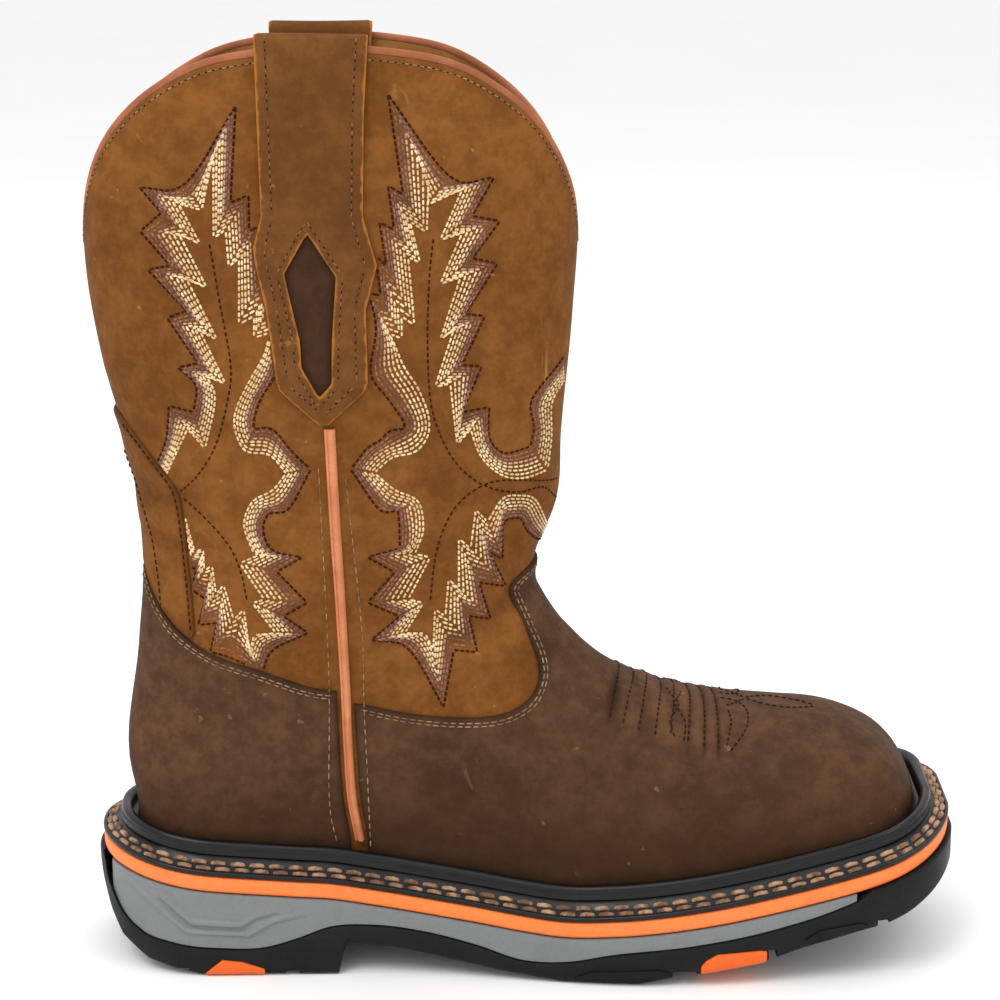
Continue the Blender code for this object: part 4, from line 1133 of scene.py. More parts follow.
tan = oiled_leather(
    "tan_shaft_leather",
    ((92, 53, 18), (115, 70, 28), (144, 92, 44), (190, 142, 82), (68, 39, 17)),
)
brown = oiled_leather(
    "dark_vamp_leather",
    ((58, 38, 25), (79, 54, 37), (106, 75, 52), (146, 114, 86), (42, 28, 21)),
    # painted shade low on the vamp and counter, next to the welt
    dip=0.75,
)
strap_hide = oiled_leather(
    "strap_leather_finish",
    ((86, 52, 24), (104, 65, 31), (126, 82, 41), (172, 126, 72), (176, 108, 42)),
    rim_reach=0.0013,
    rim_share=0.7,
)
inlay_hide = oiled_leather(
    "inlay_leather_finish",
    ((50, 32, 22), (62, 41, 28), (76, 52, 36), (104, 80, 58), (44, 30, 22)),
)
raw_edge = suede_lining("raw_cut_edge", (168, 108, 44), (120, 72, 28))
lining = suede_lining("shaft_lining", (170, 118, 62), (128, 82, 38))
salmon = suede_lining("salmon_binding", (216, 142, 98), (186, 110, 72))
collar_salmon = suede_lining("collar_binding", (178, 112, 78), (144, 86, 56))
footbed_foam = suede_lining("footbed_cover", (92, 68, 44), (60, 44, 30))
black_sole = moulded_rubber("black_sole_rubber", (11, 12, 13), (28, 29, 31), 0.55, 0.35, 0.35, 0.22)
black_welt = moulded_rubber("black_welt_rubber", (11, 11, 12), (20, 21, 23), 0.32, 0.2, 0.25, 0.32)
grey_foam = moulded_rubber("grey_midsole_foam", (120, 123, 123), (98, 100, 101), 0.5, 0.2, 0.3)
orange_stripe = moulded_rubber("orange_stripe_rubber", (250, 128, 58), (205, 92, 48), 0.5, 0.15, 0.4)
orange_lug = moulded_rubber("orange_insert_rubber", (230, 98, 22), (198, 82, 24), 0.5, 0.2, 0.3)
cream_thread = waxed_thread("cream_thread", (244, 222, 176), (206, 172, 122))
mauve_thread = waxed_thread("mauve_thread", (150, 106, 90), (104, 68, 56))
rose_thread = waxed_thread("rose_thread", (204, 172, 150), (158, 122, 102))
maroon_thread = waxed_thread("maroon_thread", (74, 34, 22), (46, 20, 14), 0.02)
seam_thread = waxed_thread("seam_thread", (168, 138, 104), (112, 86, 60))
tawny_thread = waxed_thread("tawny_thread", (142, 106, 72), (96, 66, 42), 0.03)
dark_thread = waxed_thread("dark_thread", (62, 36, 25), (38, 22, 16), 0.02)
welt_thread = waxed_thread("welt_thread", (186, 146, 112), (104, 72, 50))


# Leather.
BASE = dense_rings()
AWAY = outward(BASE)
AWAY /= np.linalg.norm(AWAY, axis=-1)[..., None]
FAN_START = TOE_TURNS + FOOT_RINGS
FAN_END = FAN_START + LOW_TURNS + HIGH_TURNS
FOLD_PAINTED_SHADING = 0.30  # how strongly the folds are painted into the leather's colour as highlight and shade, next to the drawn-in stitching
FAR_FROM_EDGE = 0.02  # the shaft's own cut edge lies under the collar cord

upper = lay_sheet("shaft_and_lining", BASE, AWAY)
join_edges(upper)
trim(upper, above_feather)
flat, away = places(upper), read_layer(upper, "away")
lift = relief(flat)
# the folds' relief, kept for their painted highlight and shade
write_layer(upper, "fold", lift * FOLD_PAINTED_SHADING)
write_layer(upper, "edge", np.full(len(flat), FAR_FROM_EDGE))
thicken(upper, flat + away * (lift - WALL)[:, None], flat + away * lift[:, None])
paint(upper, tan, lining)


def face_sides(obj, inner, rim=0):
    """Gives the inner faces and the cut rim of a layer their own finishes."""
    side = read_layer(obj, "face_side", "float")
    for face in obj.data.polygons:
        outer = [side[i] > 0.5 for i in face.vertices]
        face.material_index = 0 if all(outer) else rim if any(outer) else inner


face_sides(upper, 1)
smooth(upper, 50)
ready(upper, "tan_leather", "upper")

vamp_back = rounded(in_side_view(VAMP_EDGE[:5]))
vamp_top = rounded(in_side_view(VAMP_EDGE[4:16]))
vamp_pattern = np.concatenate([vamp_back[:-1], vamp_top, in_side_view(VAMP_EDGE[16:])])
counter_front = rounded(in_side_view(COUNTER_EDGE[:5]))
counter_top = rounded(in_side_view(COUNTER_EDGE[4:12]))
counter_pattern = np.concatenate(
    [counter_front[:-1], counter_top, in_side_view(COUNTER_EDGE[12:])]
)
stay_foot = rounded(in_side_view(STAY_EDGE[1:6]))
stay_front = rounded(in_side_view(STAY_EDGE[5:10]))
stay_pattern = np.concatenate(
    [in_side_view(STAY_EDGE[:1]), stay_foot[:-1], stay_front, in_side_view(STAY_EDGE[10:])]
)
CUT_ROWS = 0.0003, 0.0008  # rows of points inside an overlay's cut edge, which carry its rounding


def overlay(name, rows, columns, corners, finish, draw_in=None):
    """A layer of leather over the upper, cut to its side-view pattern, with a rounded cut edge."""
    pick = slice(*rows)
    sheet = lay_sheet(name, BASE[pick][:, columns], AWAY[pick][:, columns])
    join_edges(sheet)
    trim(sheet, above_feather)
    depth = pattern_depth(corners)
    trim(sheet, depth)
    for inside in CUT_ROWS:
        trim(sheet, lambda points: depth(points) - inside, clear=False)
    flat, away = places(sheet), read_layer(sheet, "away")
    edge, waves = depth(flat), relief(flat)
    drawn_in = draw_in(flat) if draw_in else 0 * waves
    # folds and drawn-in stitching, kept for their painted highlight and shade
    write_layer(sheet, "fold", waves * FOLD_PAINTED_SHADING + drawn_in)
    write_layer(sheet, "edge", edge)
    high = waves + drawn_in + GAP + OVERLAY * skived(edge)
    thicken(sheet, flat + away * (waves + GAP / 2)[:, None], flat + away * high[:, None])
    paint(sheet, finish)
    smooth(sheet, 60)
    return sheet


# Wrinkle stitching over the vamp, as arcs in plan and in millimetres.
# columns: x over the ridge, x at the lower end, reach to the side
WRINKLES = (
    (33.7, 28.4, 28.0),
    (39.0, 33.0, 29.0),
    (43.8, 38.4, 29.8),
    (49.0, 44.4, 30.2),
    (53.8, 50.0, 29.2),
    (59.4, 56.2, 29.6),
    (64.4, 62.0, 30.4),
    (68.9, 67.2, 30.8),
)
WRINKLE_BEND = 1.6  # the power that bends each arc backwards
WRINKLE_REACH = 30  # how far the drawn-in lines run down each side
DRAWN_IN, DRAWN_WIDTH, SWELL = 0.75, 1.15, 0.45


def wrinkle_line(row, side):
    """One line of wrinkle stitching from the ridge of the vamp down one side, in plan."""
    top, end, reach = row
    t = np.linspace(0.03, 1, 60)
    return np.stack([top + (end - top) * t**WRINKLE_BEND, side * reach * t], 1) * MM


def puckers(points):
    """The leather draws in along each line of stitching and swells between the lines."""
    x, y = points[:, 0] / MM, points[:, 1] / MM
    reach = np.abs(y) / WRINKLE_REACH
    rise = np.zeros(len(points))
    inside = smoothstep(1.12, 0.92, reach) * smoothstep(55, 66, points[:, 2] / MM + 10)
    for top, end, _ in WRINKLES:
        line = top + (end - top) * np.minimum(reach, 1.1) ** WRINKLE_BEND
        rise -= DRAWN_IN * np.exp(-(((x - line) / DRAWN_WIDTH) ** 2))
    rise += SWELL * (smoothstep(31, 36, x) * smoothstep(73, 68, x))
    return rise * inside * MM


all_round = slice(0, AROUND + 1)
vamp = overlay("vamp_leather", (0, FAN_END + 2), all_round, vamp_pattern, brown, puckers)
ready(vamp, "dark_brown_leather", "vamp")
round_heel = np.arange(-66, 67) % AROUND
heel_rows, stay_rows = (FAN_START, FAN_END + 6), (FAN_END - 20, FAN_END + 24)
counter = overlay("counter_leather", heel_rows, round_heel, counter_pattern, brown)
ready(counter, "dark_brown_leather", "counter")
round_stay = np.arange(-46, 47) % AROUND
back_stay = overlay("back_stay_leather", stay_rows, round_stay, stay_pattern, tan)
ready(back_stay, "tan_leather", "back_stay")

# Collar binding.
rim_points, rim_away = BASE[-1][:-1], AWAY[-1][:-1]
out = rim_away * np.array([1.0, 1.0, 0.0])
out /= np.linalg.norm(out, axis=1)[:, None]
rim = rim_points + rim_away * (relief(rim_points)[:, None] - WALL / 2)
along_rim = np.roll(rim, -1, 0) - np.roll(rim, 1, 0)
along_rim /= np.linalg.norm(along_rim, axis=1)[:, None]
up_rim = np.cross(out, along_rim)
up_rim *= np.sign(up_rim[:, 2])[:, None]
up_rim /= np.linalg.norm(up_rim, axis=1)[:, None]
CORD_POINTS = 12
clear_selection()
bpy.ops.mesh.primitive_torus_add(
    major_segments=AROUND, minor_segments=CORD_POINTS, major_radius=0.08, minor_radius=0.002
)
binding = bpy.context.object
binding.name = binding.data.name = "collar_cord"
round_cord = np.linspace(0, 2 * math.pi, CORD_POINTS, endpoint=False)
u = np.sign(np.cos(round_cord)) * np.abs(np.cos(round_cord)) ** 0.7 * CORD_WIDTH / 2
v = (np.sin(round_cord) * 0.5 + 0.5) ** 0.9 * CORD_HEIGHT * 0.95 - GAP
cord = rim[:, None] + out[:, None] * u[None, :, None] + up_rim[:, None] * v[None, :, None]
put(binding, cord)
paint(binding, collar_salmon)
turn_outwards(binding)
smooth(binding, 80)
ready(binding, "salmon_piping", "collar_binding")


def skin_of(*objs):
    """A tree of faces to drop rays on."""
    points, faces = [], []
    for obj in objs:
        start = len(points)
        points += [v.co.copy() for v in obj.data.vertices]
        faces += [[start + i for i in p.vertices] for p in obj.data.polygons]
    return BVHTree.FromPolygons(points, faces)


SHAFT_SKIN = skin_of(upper)
BESIDE, OVERHEAD = 0.2, 0.4  # where the rays start, clear of the boot


def from_side(side):
    """Rays that come in from one side, for points in side view."""
    return lambda x, z: (Vector((x, side * BESIDE, z)), Vector((0, -side, 0)))


def from_above(x, y):
    """A ray that comes down, for a point in plan."""
    return Vector((x, y, OVERHEAD)), Vector((0, 0, -1))


def side_of_upper(x, z, side):
    """How far out the upper's surface lies at points in side view."""
    x, z = np.broadcast_arrays(np.asarray(x, float), np.asarray(z, float))
    cast = from_side(side)
    found = [SHAFT_SKIN.ray_cast(*cast(a, b))[0] for a, b in zip(x.ravel(), z.ravel())]
    return np.array([abs(point.y) for point in found]).reshape(x.shape)


# Pull straps.
CREST = SHAFT_HEIGHT + GAP + CORD_HEIGHT - CORD_WIDTH / 2  # the fold over the collar starts here
LEAVING = CREST - 0.03, CREST - 0.006  # the strap leaves the shaft between these heights
STRAP_TIP = STRAP_OUTLINE[-1][0] * SHAFT_HEIGHT


def strap_edges(level):
    """X of the strap's back and front edges at a height, given as a share of SHAFT_HEIGHT."""
    rows = np.array(STRAP_OUTLINE)[::-1]
    back = np.interp(level, rows[:, 0], rows[:, 1])
    front = np.interp(level, rows[:, 0], rows[:, 2])
    return shaft_x(back), shaft_x(front)


def strap_path():
    """Middle of the strap's thickness, tip to tail: offset from the shaft, height, turn outwards."""
    close, loose = GAP + STRAP / 2, STRAP_FOLD - WALL / 2
    path = []
    for z in np.linspace(STRAP_TIP, CREST, 96):
        path.append((close + (loose - close) * smoothstep(*LEAVING, z), z, 0.0))
    for a in np.linspace(0, math.pi, 16)[1:-1]:
        path.append((STRAP_FOLD * math.cos(a) - WALL / 2, CREST + STRAP_FOLD * math.sin(a), a))
    for z in np.linspace(CREST, CREST - STRAP_TAIL, 34):
        away = (close + WALL - STRAP_FOLD - WALL / 2) * smoothstep(*LEAVING, z)
        path.append((-WALL - close + away, z, math.pi))
    return path


def strap_sheet(name, path, side):
    """A strip across the strap's width, along a path over the collar."""
    rows, ways = [], []
    for offset, z, turn in path:
        back, front = strap_edges(z / SHAFT_HEIGHT)
        x = np.linspace(float(back), float(front), STRAP_ACROSS)
        y = side_of_upper(x, np.minimum(z, SHAFT_HEIGHT - 0.006), side) + offset
        rows.append(np.stack([x, side * y, np.full(STRAP_ACROSS, z)], 1))
        ways.append(np.tile((0.0, side * math.cos(turn), math.sin(turn)), (STRAP_ACROSS, 1)))
    return lay_sheet(name, np.array(rows), np.array(ways))


WINDOW_LINE = np.array([(shaft_x(x), z * SHAFT_HEIGHT) for x, z in WINDOW])
WINDOW_ROOM = 0.0002  # the strap is cut this much wider than the window's line
INLAY_LEVELS = 0.645, 0.822  # the inlay's sheet before it is cut, in shares of SHAFT_HEIGHT
INLAY_ACROSS = 18
window_depth = pattern_depth(WINDOW_LINE)
for side, word in SIDES:
    strap = strap_sheet("strap_leather_" + word, strap_path(), side)
    trim(strap, lambda points: -window_depth(points) - WINDOW_ROOM)
    flat, away = places(strap), read_layer(strap, "away")
    back, front = strap_edges(flat[:, 2] / SHAFT_HEIGHT)
    edge = np.minimum(flat[:, 0] - back, front - flat[:, 0])
    edge = np.minimum(edge, flat[:, 2] - STRAP_TIP + MM)
    edge = np.minimum(edge, -window_depth(flat) - WINDOW_ROOM)
    wave = 0.00025 * np.sin(flat[:, 2] * 95 + 0.8) * np.sin(flat[:, 0] * 120 + side)
    write_layer(strap, "edge", edge)
    # the strap's slight waves, kept for their painted highlight and shade
    write_layer(strap, "fold", wave * 0.6)
    half = STRAP / 2 * skived(edge, 0.0007, 0.55)
    low = wave - STRAP / 2 * 0.9
    thicken(strap, flat + away * low[:, None], flat + away * (wave + half)[:, None])
    paint(strap, strap_hide, raw_edge)
    face_sides(strap, 1, 1)
    smooth(strap, 55)
    ready(strap, "strap_leather", "pull_strap_" + word)

    rows, ways = [], []
    x = np.linspace(WINDOW_LINE[:, 0].min() - MM, WINDOW_LINE[:, 0].max() + MM, INLAY_ACROSS)
    for z in np.linspace(*INLAY_LEVELS, 44) * SHAFT_HEIGHT:
        y = side_of_upper(x, z, side)
        rows.append(np.stack([x, side * y, np.full(INLAY_ACROSS, z)], 1))
        ways.append(np.tile((0.0, side, 0.0), (INLAY_ACROSS, 1)))
    inlay = lay_sheet("inlay_leather_" + word, np.array(rows), np.array(ways))
    trim(inlay, window_depth)
    flat, away = places(inlay), read_layer(inlay, "away")
    edge = window_depth(flat)
    write_layer(inlay, "edge", edge)
    write_layer(inlay, "fold", edge * 0)
    puff = GAP + INLAY * (0.8 + 0.5 * smoothstep(0, 0.006, edge))
    thicken(inlay, flat + away * GAP, flat + away * puff[:, None])
    paint(inlay, inlay_hide)
    smooth(inlay, 50)
    ready(inlay, "dark_brown_leather", "strap_inlay_" + word)

    z = np.linspace(SEAM[0][0] * SHAFT_HEIGHT, SEAM[-1][0] * SHAFT_HEIGHT, 130)
    x = SEAM_LINE(z / SHAFT_HEIGHT)
    z[0] = max(z[0], float(feather(x[0])) + GAP)
    # The cord's section: its round bead, and the lower flap that it is sewn by.
    bead = np.linspace(-0.5, 0.5, 19)
    main = np.sqrt(np.maximum(1 - ((bead - 0.13) / 0.37) ** 2, 0))
    flap = 0.62 * np.sqrt(np.maximum(1 - ((bead + 0.33) / 0.17) ** 2, 0))
    crown = np.maximum(main, flap)
    width = SEAM_WIDTH * (1.0 + 0.12 * smoothstep(0.10, 0.18, z))
    columns = []
    for u, v in [*zip(bead, crown), (0.5, -0.15), (-0.5, -0.15)]:
        across = x + u * width
        base = np.maximum(side_of_upper(across, z, side), side_of_upper(x, z, side))
        columns.append(np.stack([across, side * (base + GAP + v * (SEAM_RISE - GAP)), z], 1))
    columns.append(columns[0])
    section = np.stack(columns, 1)
    piping = lay_sheet("seam_cord_" + word, section, np.zeros(section.shape))
    join_edges(piping)
    edit_whole(piping, bpy.ops.mesh.fill_holes, sides=0)
    turn_outwards(piping)
    paint(piping, salmon)
    smooth(piping, 60)
    ready(piping, "salmon_piping", "side_piping_" + word)

# Sole.
TREAD_STEPS = tuple(row[0] for row in TREAD) + (MIDSOLE_TIP, MIDSOLE_TIP + STEP)


def apart(along, others):
    """Distance from one place along the sole to the nearest of some others."""
    return min(abs(along - other) for other in others)


def sole_stations():
    """Places along the sole, closer together at its ends, the tread's steps and the heel's ribs."""
    heel, toe = end_turns(0.02, 40)
    rest = [*heel, *np.linspace(HEEL_ROUND, 1 - TOE_ROUND, 96), *toe]
    rest = [along for along in rest if apart(along, TREAD_STEPS[1:-1]) > 0.0012]
    rest += [step for step in TREAD_STEPS if rest[0] < step < rest[-1]]
    ribs = [along for along in np.arange(0.030, 0.285, 0.0023) if apart(along, rest) > 0.0009]
    return np.unique(np.round([*rest, *ribs], 6))


ALONG = sole_stations()


def sole_layer(inset, height, keep, across):
    """One level of a plate: rows of points straight across, from the lateral to the medial edge."""
    if callable(inset):
        x = sole_x(ALONG)
        inset = inset(x, height(x))
    lateral, medial = edge_lines(inset, ALONG)
    share_across = np.linspace(0, 1, across)[None, :, None]
    plan = lateral[:, None] * (1 - share_across) + medial[:, None] * share_across
    level = 0.5 * (height(lateral[:, 0]) + height(medial[:, 0]))
    return np.dstack([plan, np.broadcast_to(level[:, None], plan.shape[:2])])[keep]


def sole_plate(name, levels, first=0.0, last=1.0, across=9):
    """A plate of the sole: a grid cut to its plan, extruded from level to level up its edge."""
    keep = (ALONG >= first) & (ALONG <= last)
    layers = [sole_layer(inset, height, keep, across) for inset, height in levels]
    plate = lay_sheet(name, layers[0], np.zeros(layers[0].shape))
    start_extruding(plate)
    for layer in layers[1:]:
        new, twin = extrude_copy(plate)
        put(plate, np.where(new[:, None], layer.reshape(-1, 3)[twin], places(plate)))
    end_extruding(plate)
    return plate


def raised(read, by):
    """A height line moved up."""
    return lambda x: read(x) + by


def prism(name, corners, near, far):
    """A side-view outline, extruded across the boot, to cut with."""
    clear_selection()
    bpy.ops.mesh.primitive_circle_add(vertices=len(corners), radius=0.02, fill_type="NGON")
    obj = bpy.context.object
    obj.name = name
    put(obj, [(x, near, z) for x, z in corners])
    move = {"value": (0, far - near, 0)}
    edit_whole(obj, bpy.ops.mesh.extrude_region_move, TRANSFORM_OT_translate=move)
    turn_outwards(obj)
    return obj


def combine(obj, other, operation):
    """Joins or cuts with another shape, which is then thrown away."""
    modifier = obj.modifiers.new(operation, "BOOLEAN")
    modifier.operation = operation
    modifier.object = other
    modifier.solver = "EXACT"
    take_up(obj)
    bpy.ops.object.modifier_apply(modifier=modifier.name)
    bpy.data.objects.remove(other, do_unlink=True)


UNDER_TREAD = 0.004  # how far an outline passes under the tread that it cuts


def tread_points(shape):
    """A side-view outline whose heights start from the tread's own line."""
    points = []
    for along, height in shape:
        x = sole_x(along)
        base = float(tread(x))
        points.append((x, base + height * HEEL_STACK if height > 0 else base - UNDER_TREAD))
    return points


def grown(corners, by):
    """A polygon with its edges moved outwards."""
    points = np.array(corners, float)
    following = np.roll(points, -1, 0)
    if np.sum(points[:, 0] * following[:, 1] - following[:, 0] * points[:, 1]) < 0:
        by = -by
    before, after = points - np.roll(points, 1, 0), following - points
    n0 = np.stack([before[:, 1], -before[:, 0]], 1) / np.linalg.norm(before, axis=1)[:, None]
    n1 = np.stack([after[:, 1], -after[:, 0]], 1) / np.linalg.norm(after, axis=1)[:, None]
    middle = n0 + n1
    middle /= np.linalg.norm(middle, axis=1)[:, None]
    return points + middle * (by / np.maximum((middle * n0).sum(1), 0.4))[:, None]


CLEAR_SIDE = 0.08  # from the middle to well past the sole's edge


def rib(x, z):
    """The moulded chevrons that stand proud of the midsole's heel."""
    total = np.zeros(len(x))
    for line in RIBS:
        points = [(sole_x(along), height * HEEL_STACK) for along, height in line]
        distance = line_distance(x, z, np.array(points))[0]
        faded = smoothstep(points[-1][0] + 0.001, points[-1][0] - 0.016, x)
        total = np.maximum(total, smoothstep(0.0013, 0.0005, distance) * faded)
    return total


outsole = sole_plate(
    "outsole_rubber",
    [
        (0.0030, tread),
        (0.0013, raised(tread, 0.0003)),
        (0.0004, raised(tread, 0.0010)),
        (0.0, raised(tread, 0.0022)),
        (0.0, raised(outsole_top, -0.0009)),
        (0.0004, raised(outsole_top, -0.0002)),
        (0.0011, outsole_top),
    ],
)
for shape in PADS:
    for side, _ in SIDES:
        near, far = sorted((side * 0.03, side * CLEAR_SIDE))
        pad = sole_plate(
            "pad",
            [
                (0.0032, raised(tread, 0.0006)),
                (-PAD_RISE, raised(tread, 0.0026)),
                (-PAD_RISE, raised(tread, 0.007)),
            ],
            shape[0][0] - 0.08, shape[-1][0] + 0.08,
        )
        combine(pad, prism("pad_outline", tread_points(shape), near, far), "INTERSECT")
        combine(outsole, pad, "UNION")

for name, shape in (("heel_insert", HEEL_INSERT), ("forefoot_insert", TOE_INSERT)):
    corners = tread_points(shape)
    for side, word in SIDES:
        widest = LATERAL(shape[2][0]) if side < 0 else MEDIAL(shape[2][0])
        inner = side * (float(widest) - INSERT_DEPTH)
        near, far = sorted((inner - side * GAP, side * CLEAR_SIDE))
        combine(outsole, prism("pocket", grown(corners, GAP), near, far), "DIFFERENCE")
        near, far = sorted((inner, side * CLEAR_SIDE))
        insert = sole_plate(
            name + "_" + word + "_rubber",
            [
                (0.0014, tread),
                (0.0, raised(tread, 0.0007)),
                (-INSERT_RISE, raised(tread, 0.0018)),
                (-INSERT_RISE, raised(tread, 0.016)),
            ],
            shape[0][0] - 0.05, shape[-1][0] + 0.08,
        )
        combine(insert, prism("insert_outline", corners, near, far), "INTERSECT")
        take_up(insert)
        soft = insert.modifiers.new("soft_edges", "BEVEL")
        soft.width = 0.0004
        soft.segments = 2
        soft.limit_method = "ANGLE"
        soft.angle_limit = math.radians(35)
        bpy.ops.object.modifier_apply(modifier=soft.name)
        paint(insert, orange_lug)
        smooth(insert, 35)
        ready(insert, "orange_insert", name + "_" + word)



def cutter(x, y, width, reach, top, turn=0.0):
    """A block that cuts the tread from below up to a height."""
    clear_selection()
    bpy.ops.mesh.primitive_cube_add(
        size=1, location=(x, y, (top - 0.02) / 2), scale=(width, reach, top + 0.02),
        rotation=(0, 0, turn),
    )
    return bpy.context.object


# Grooves across the tread.
for along, width, depth in GROOVES:
    x = sole_x(along)
    low, high = sorted(float(tread(x + s * width * SOLE_LENGTH / 2)) for s in (-1, 1))
    top = (low + high) / 2 + depth * HEEL_STACK
    combine(outsole, cutter(x, 0, width * SOLE_LENGTH, 0.2, top), "DIFFERENCE")


def joined(pieces):
    """Several pieces as one."""
    clear_selection()
    for piece in pieces:
        piece.select_set(True)
    bpy.context.view_layer.objects.active = pieces[0]
    bpy.ops.object.join()
    return bpy.context.object


# Under the tread: slanting cuts in the heel and forefoot, and fine cross ribs in the arch.
# columns: first and last place along the sole, number, width, depth, reach to the side, slant
FINE_TREAD = (
    (0.145, 0.212, 4, 0.0022, 0.0016, 0.019, 24),
    (0.318, 0.438, 18, 0.0011, 0.0007, 0.026, 0),
    (0.475, 0.655, 9, 0.0024, 0.0018, 0.027, 24),
    (0.700, 0.752, 3, 0.0024, 0.0018, 0.029, 24),
    (0.790, 0.880, 5, 0.0022, 0.0016, 0.027, 24),
)
for first, last, count, width, depth, reach, slant in FINE_TREAD:
    cuts = []
    for along in np.linspace(first, last, count):
        x = sole_x(along)
        top = float(tread(x + reach / 2 * math.sin(math.radians(slant)))) + depth
        for side, _ in SIDES:
            middle = side * (reach / 2 + 0.0008)
            cuts.append(cutter(x, middle, width, reach, top, math.radians(-side * slant)))
    combine(outsole, joined(cuts), "DIFFERENCE")
paint(outsole, black_sole)
smooth(outsole, 32)
ready(outsole, "black_rubber", "outsole")


def midsole_inset(x, z):
    """How far the midsole's side lies in: proud on its ribs, and hollow under the lower one."""
    under = np.array([(sole_x(along), height * HEEL_STACK - 0.0021) for along, height in RIBS[1]])
    hollow = 0.0005 * smoothstep(0.0014, 0.0004, line_distance(x, z, under)[0])
    return MIDSOLE_INSET - RIB_RISE * rib(x, z) + hollow


def midsole_level(t):
    """A height line between the midsole's foot, at 0, and its top, at 1."""
    return lambda x: midsole_foot(x) + (band_foot(x) - GAP - midsole_foot(x)) * t


MIDSOLE_LEVELS = 46  # enough for the ribs to show crisply
midsole = sole_plate(
    "midsole_foam",
    [(midsole_inset, midsole_level(t)) for t in np.linspace(0, 1, MIDSOLE_LEVELS)],
    MIDSOLE_BACK, MIDSOLE_TIP,
)
paint(midsole, grey_foam)
smooth(midsole, 40)
ready(midsole, "grey_rubber", "midsole")

band = sole_plate(
    "orange_stripe",
    [
        (EDGE_INSET + 0.0008, band_foot),
        (EDGE_INSET + 0.0002, raised(band_foot, 0.0004)),
        (EDGE_INSET, raised(band_foot, 0.0012)),
        (EDGE_INSET - 0.0001, raised(band_foot, BAND / 2)),
        (EDGE_INSET, raised(band_top, -0.0012)),
        (EDGE_INSET + 0.0002, raised(band_top, -0.0004)),
        (EDGE_INSET + 0.0008, band_top),
    ],
)
paint(band, orange_stripe)
smooth(band, 50)
ready(band, "orange_band", "midsole_band")


def above_band(rise):
    """A height line over the band and the gap on top of it."""
    return lambda x: band_top(x) + GAP + rise


# The welt's section: its lip, its sloping channel, its bead against the upper and its tongue.
# columns: inset from the outsole's outline, height above the band
bead_inset = VAMP_INSET - 6 * GAP - BEAD_RADIUS
bead_rise = FLANGE + 0.0016
WELT_SECTION = [
    (TONGUE_INSET, 0.0),
    (EDGE_INSET + 0.0008, 0.0),
    (EDGE_INSET + 0.0001, 0.0002),
    (EDGE_INSET - 0.0003, 0.0008),
    (EDGE_INSET - 0.0002, 0.0015),
    (EDGE_INSET + 0.0004, 0.0020),
    (EDGE_INSET + 0.0009, 0.0020),
    (EDGE_INSET + 0.0013, 0.0016),
    (EDGE_INSET + 0.0030, 0.0029),
    (EDGE_INSET + 0.0049, 0.0043),
    (EDGE_INSET + 0.0053, 0.0051),
    (EDGE_INSET + 0.0066, 0.0056),
    (bead_inset - BEAD_RADIUS * 1.15, bead_rise - 0.0026),
    *[
        (bead_inset - BEAD_RADIUS * math.cos(a), bead_rise + BEAD_RADIUS * math.sin(a))
        for a in np.linspace(-0.5, 2.6, 9)
    ],
    (VAMP_INSET - 6 * GAP, FLANGE),
    (TONGUE_INSET, FLANGE),
]
rows = []
for inset, rise in WELT_SECTION:
    lateral, medial = edge_lines(inset, ALONG)
    loop = np.concatenate([lateral, medial[::-1]])
    rows.append(np.column_stack([loop, above_band(rise)(loop[:, 0])]))
section = np.stack([*rows, rows[0]], 1)
section = np.concatenate([section, section[:1]])
welt = lay_sheet("welt_rubber", section, np.zeros(section.shape))
join_edges(welt)
turn_outwards(welt)
paint(welt, black_welt)
smooth(welt, 45)
ready(welt, "black_rubber", "welt")

on_tongue = FLANGE + GAP
insole = sole_plate(
    "footbed",
    [
        (TONGUE_INSET + 0.0006, above_band(0.0)),
        (TONGUE_INSET + 0.0006, above_band(on_tongue)),
        (FOOTBED_INSET, above_band(on_tongue)),
        (FOOTBED_INSET, above_band(on_tongue + FOOTBED - 0.0015)),
        (FOOTBED_INSET + 0.0006, above_band(on_tongue + FOOTBED - 0.0003)),
        (FOOTBED_INSET + 0.0020, above_band(on_tongue + FOOTBED)),
    ],
)
paint(insole, footbed_foam)
smooth(insole, 50)
ready(insole, "insole_board", "insole")

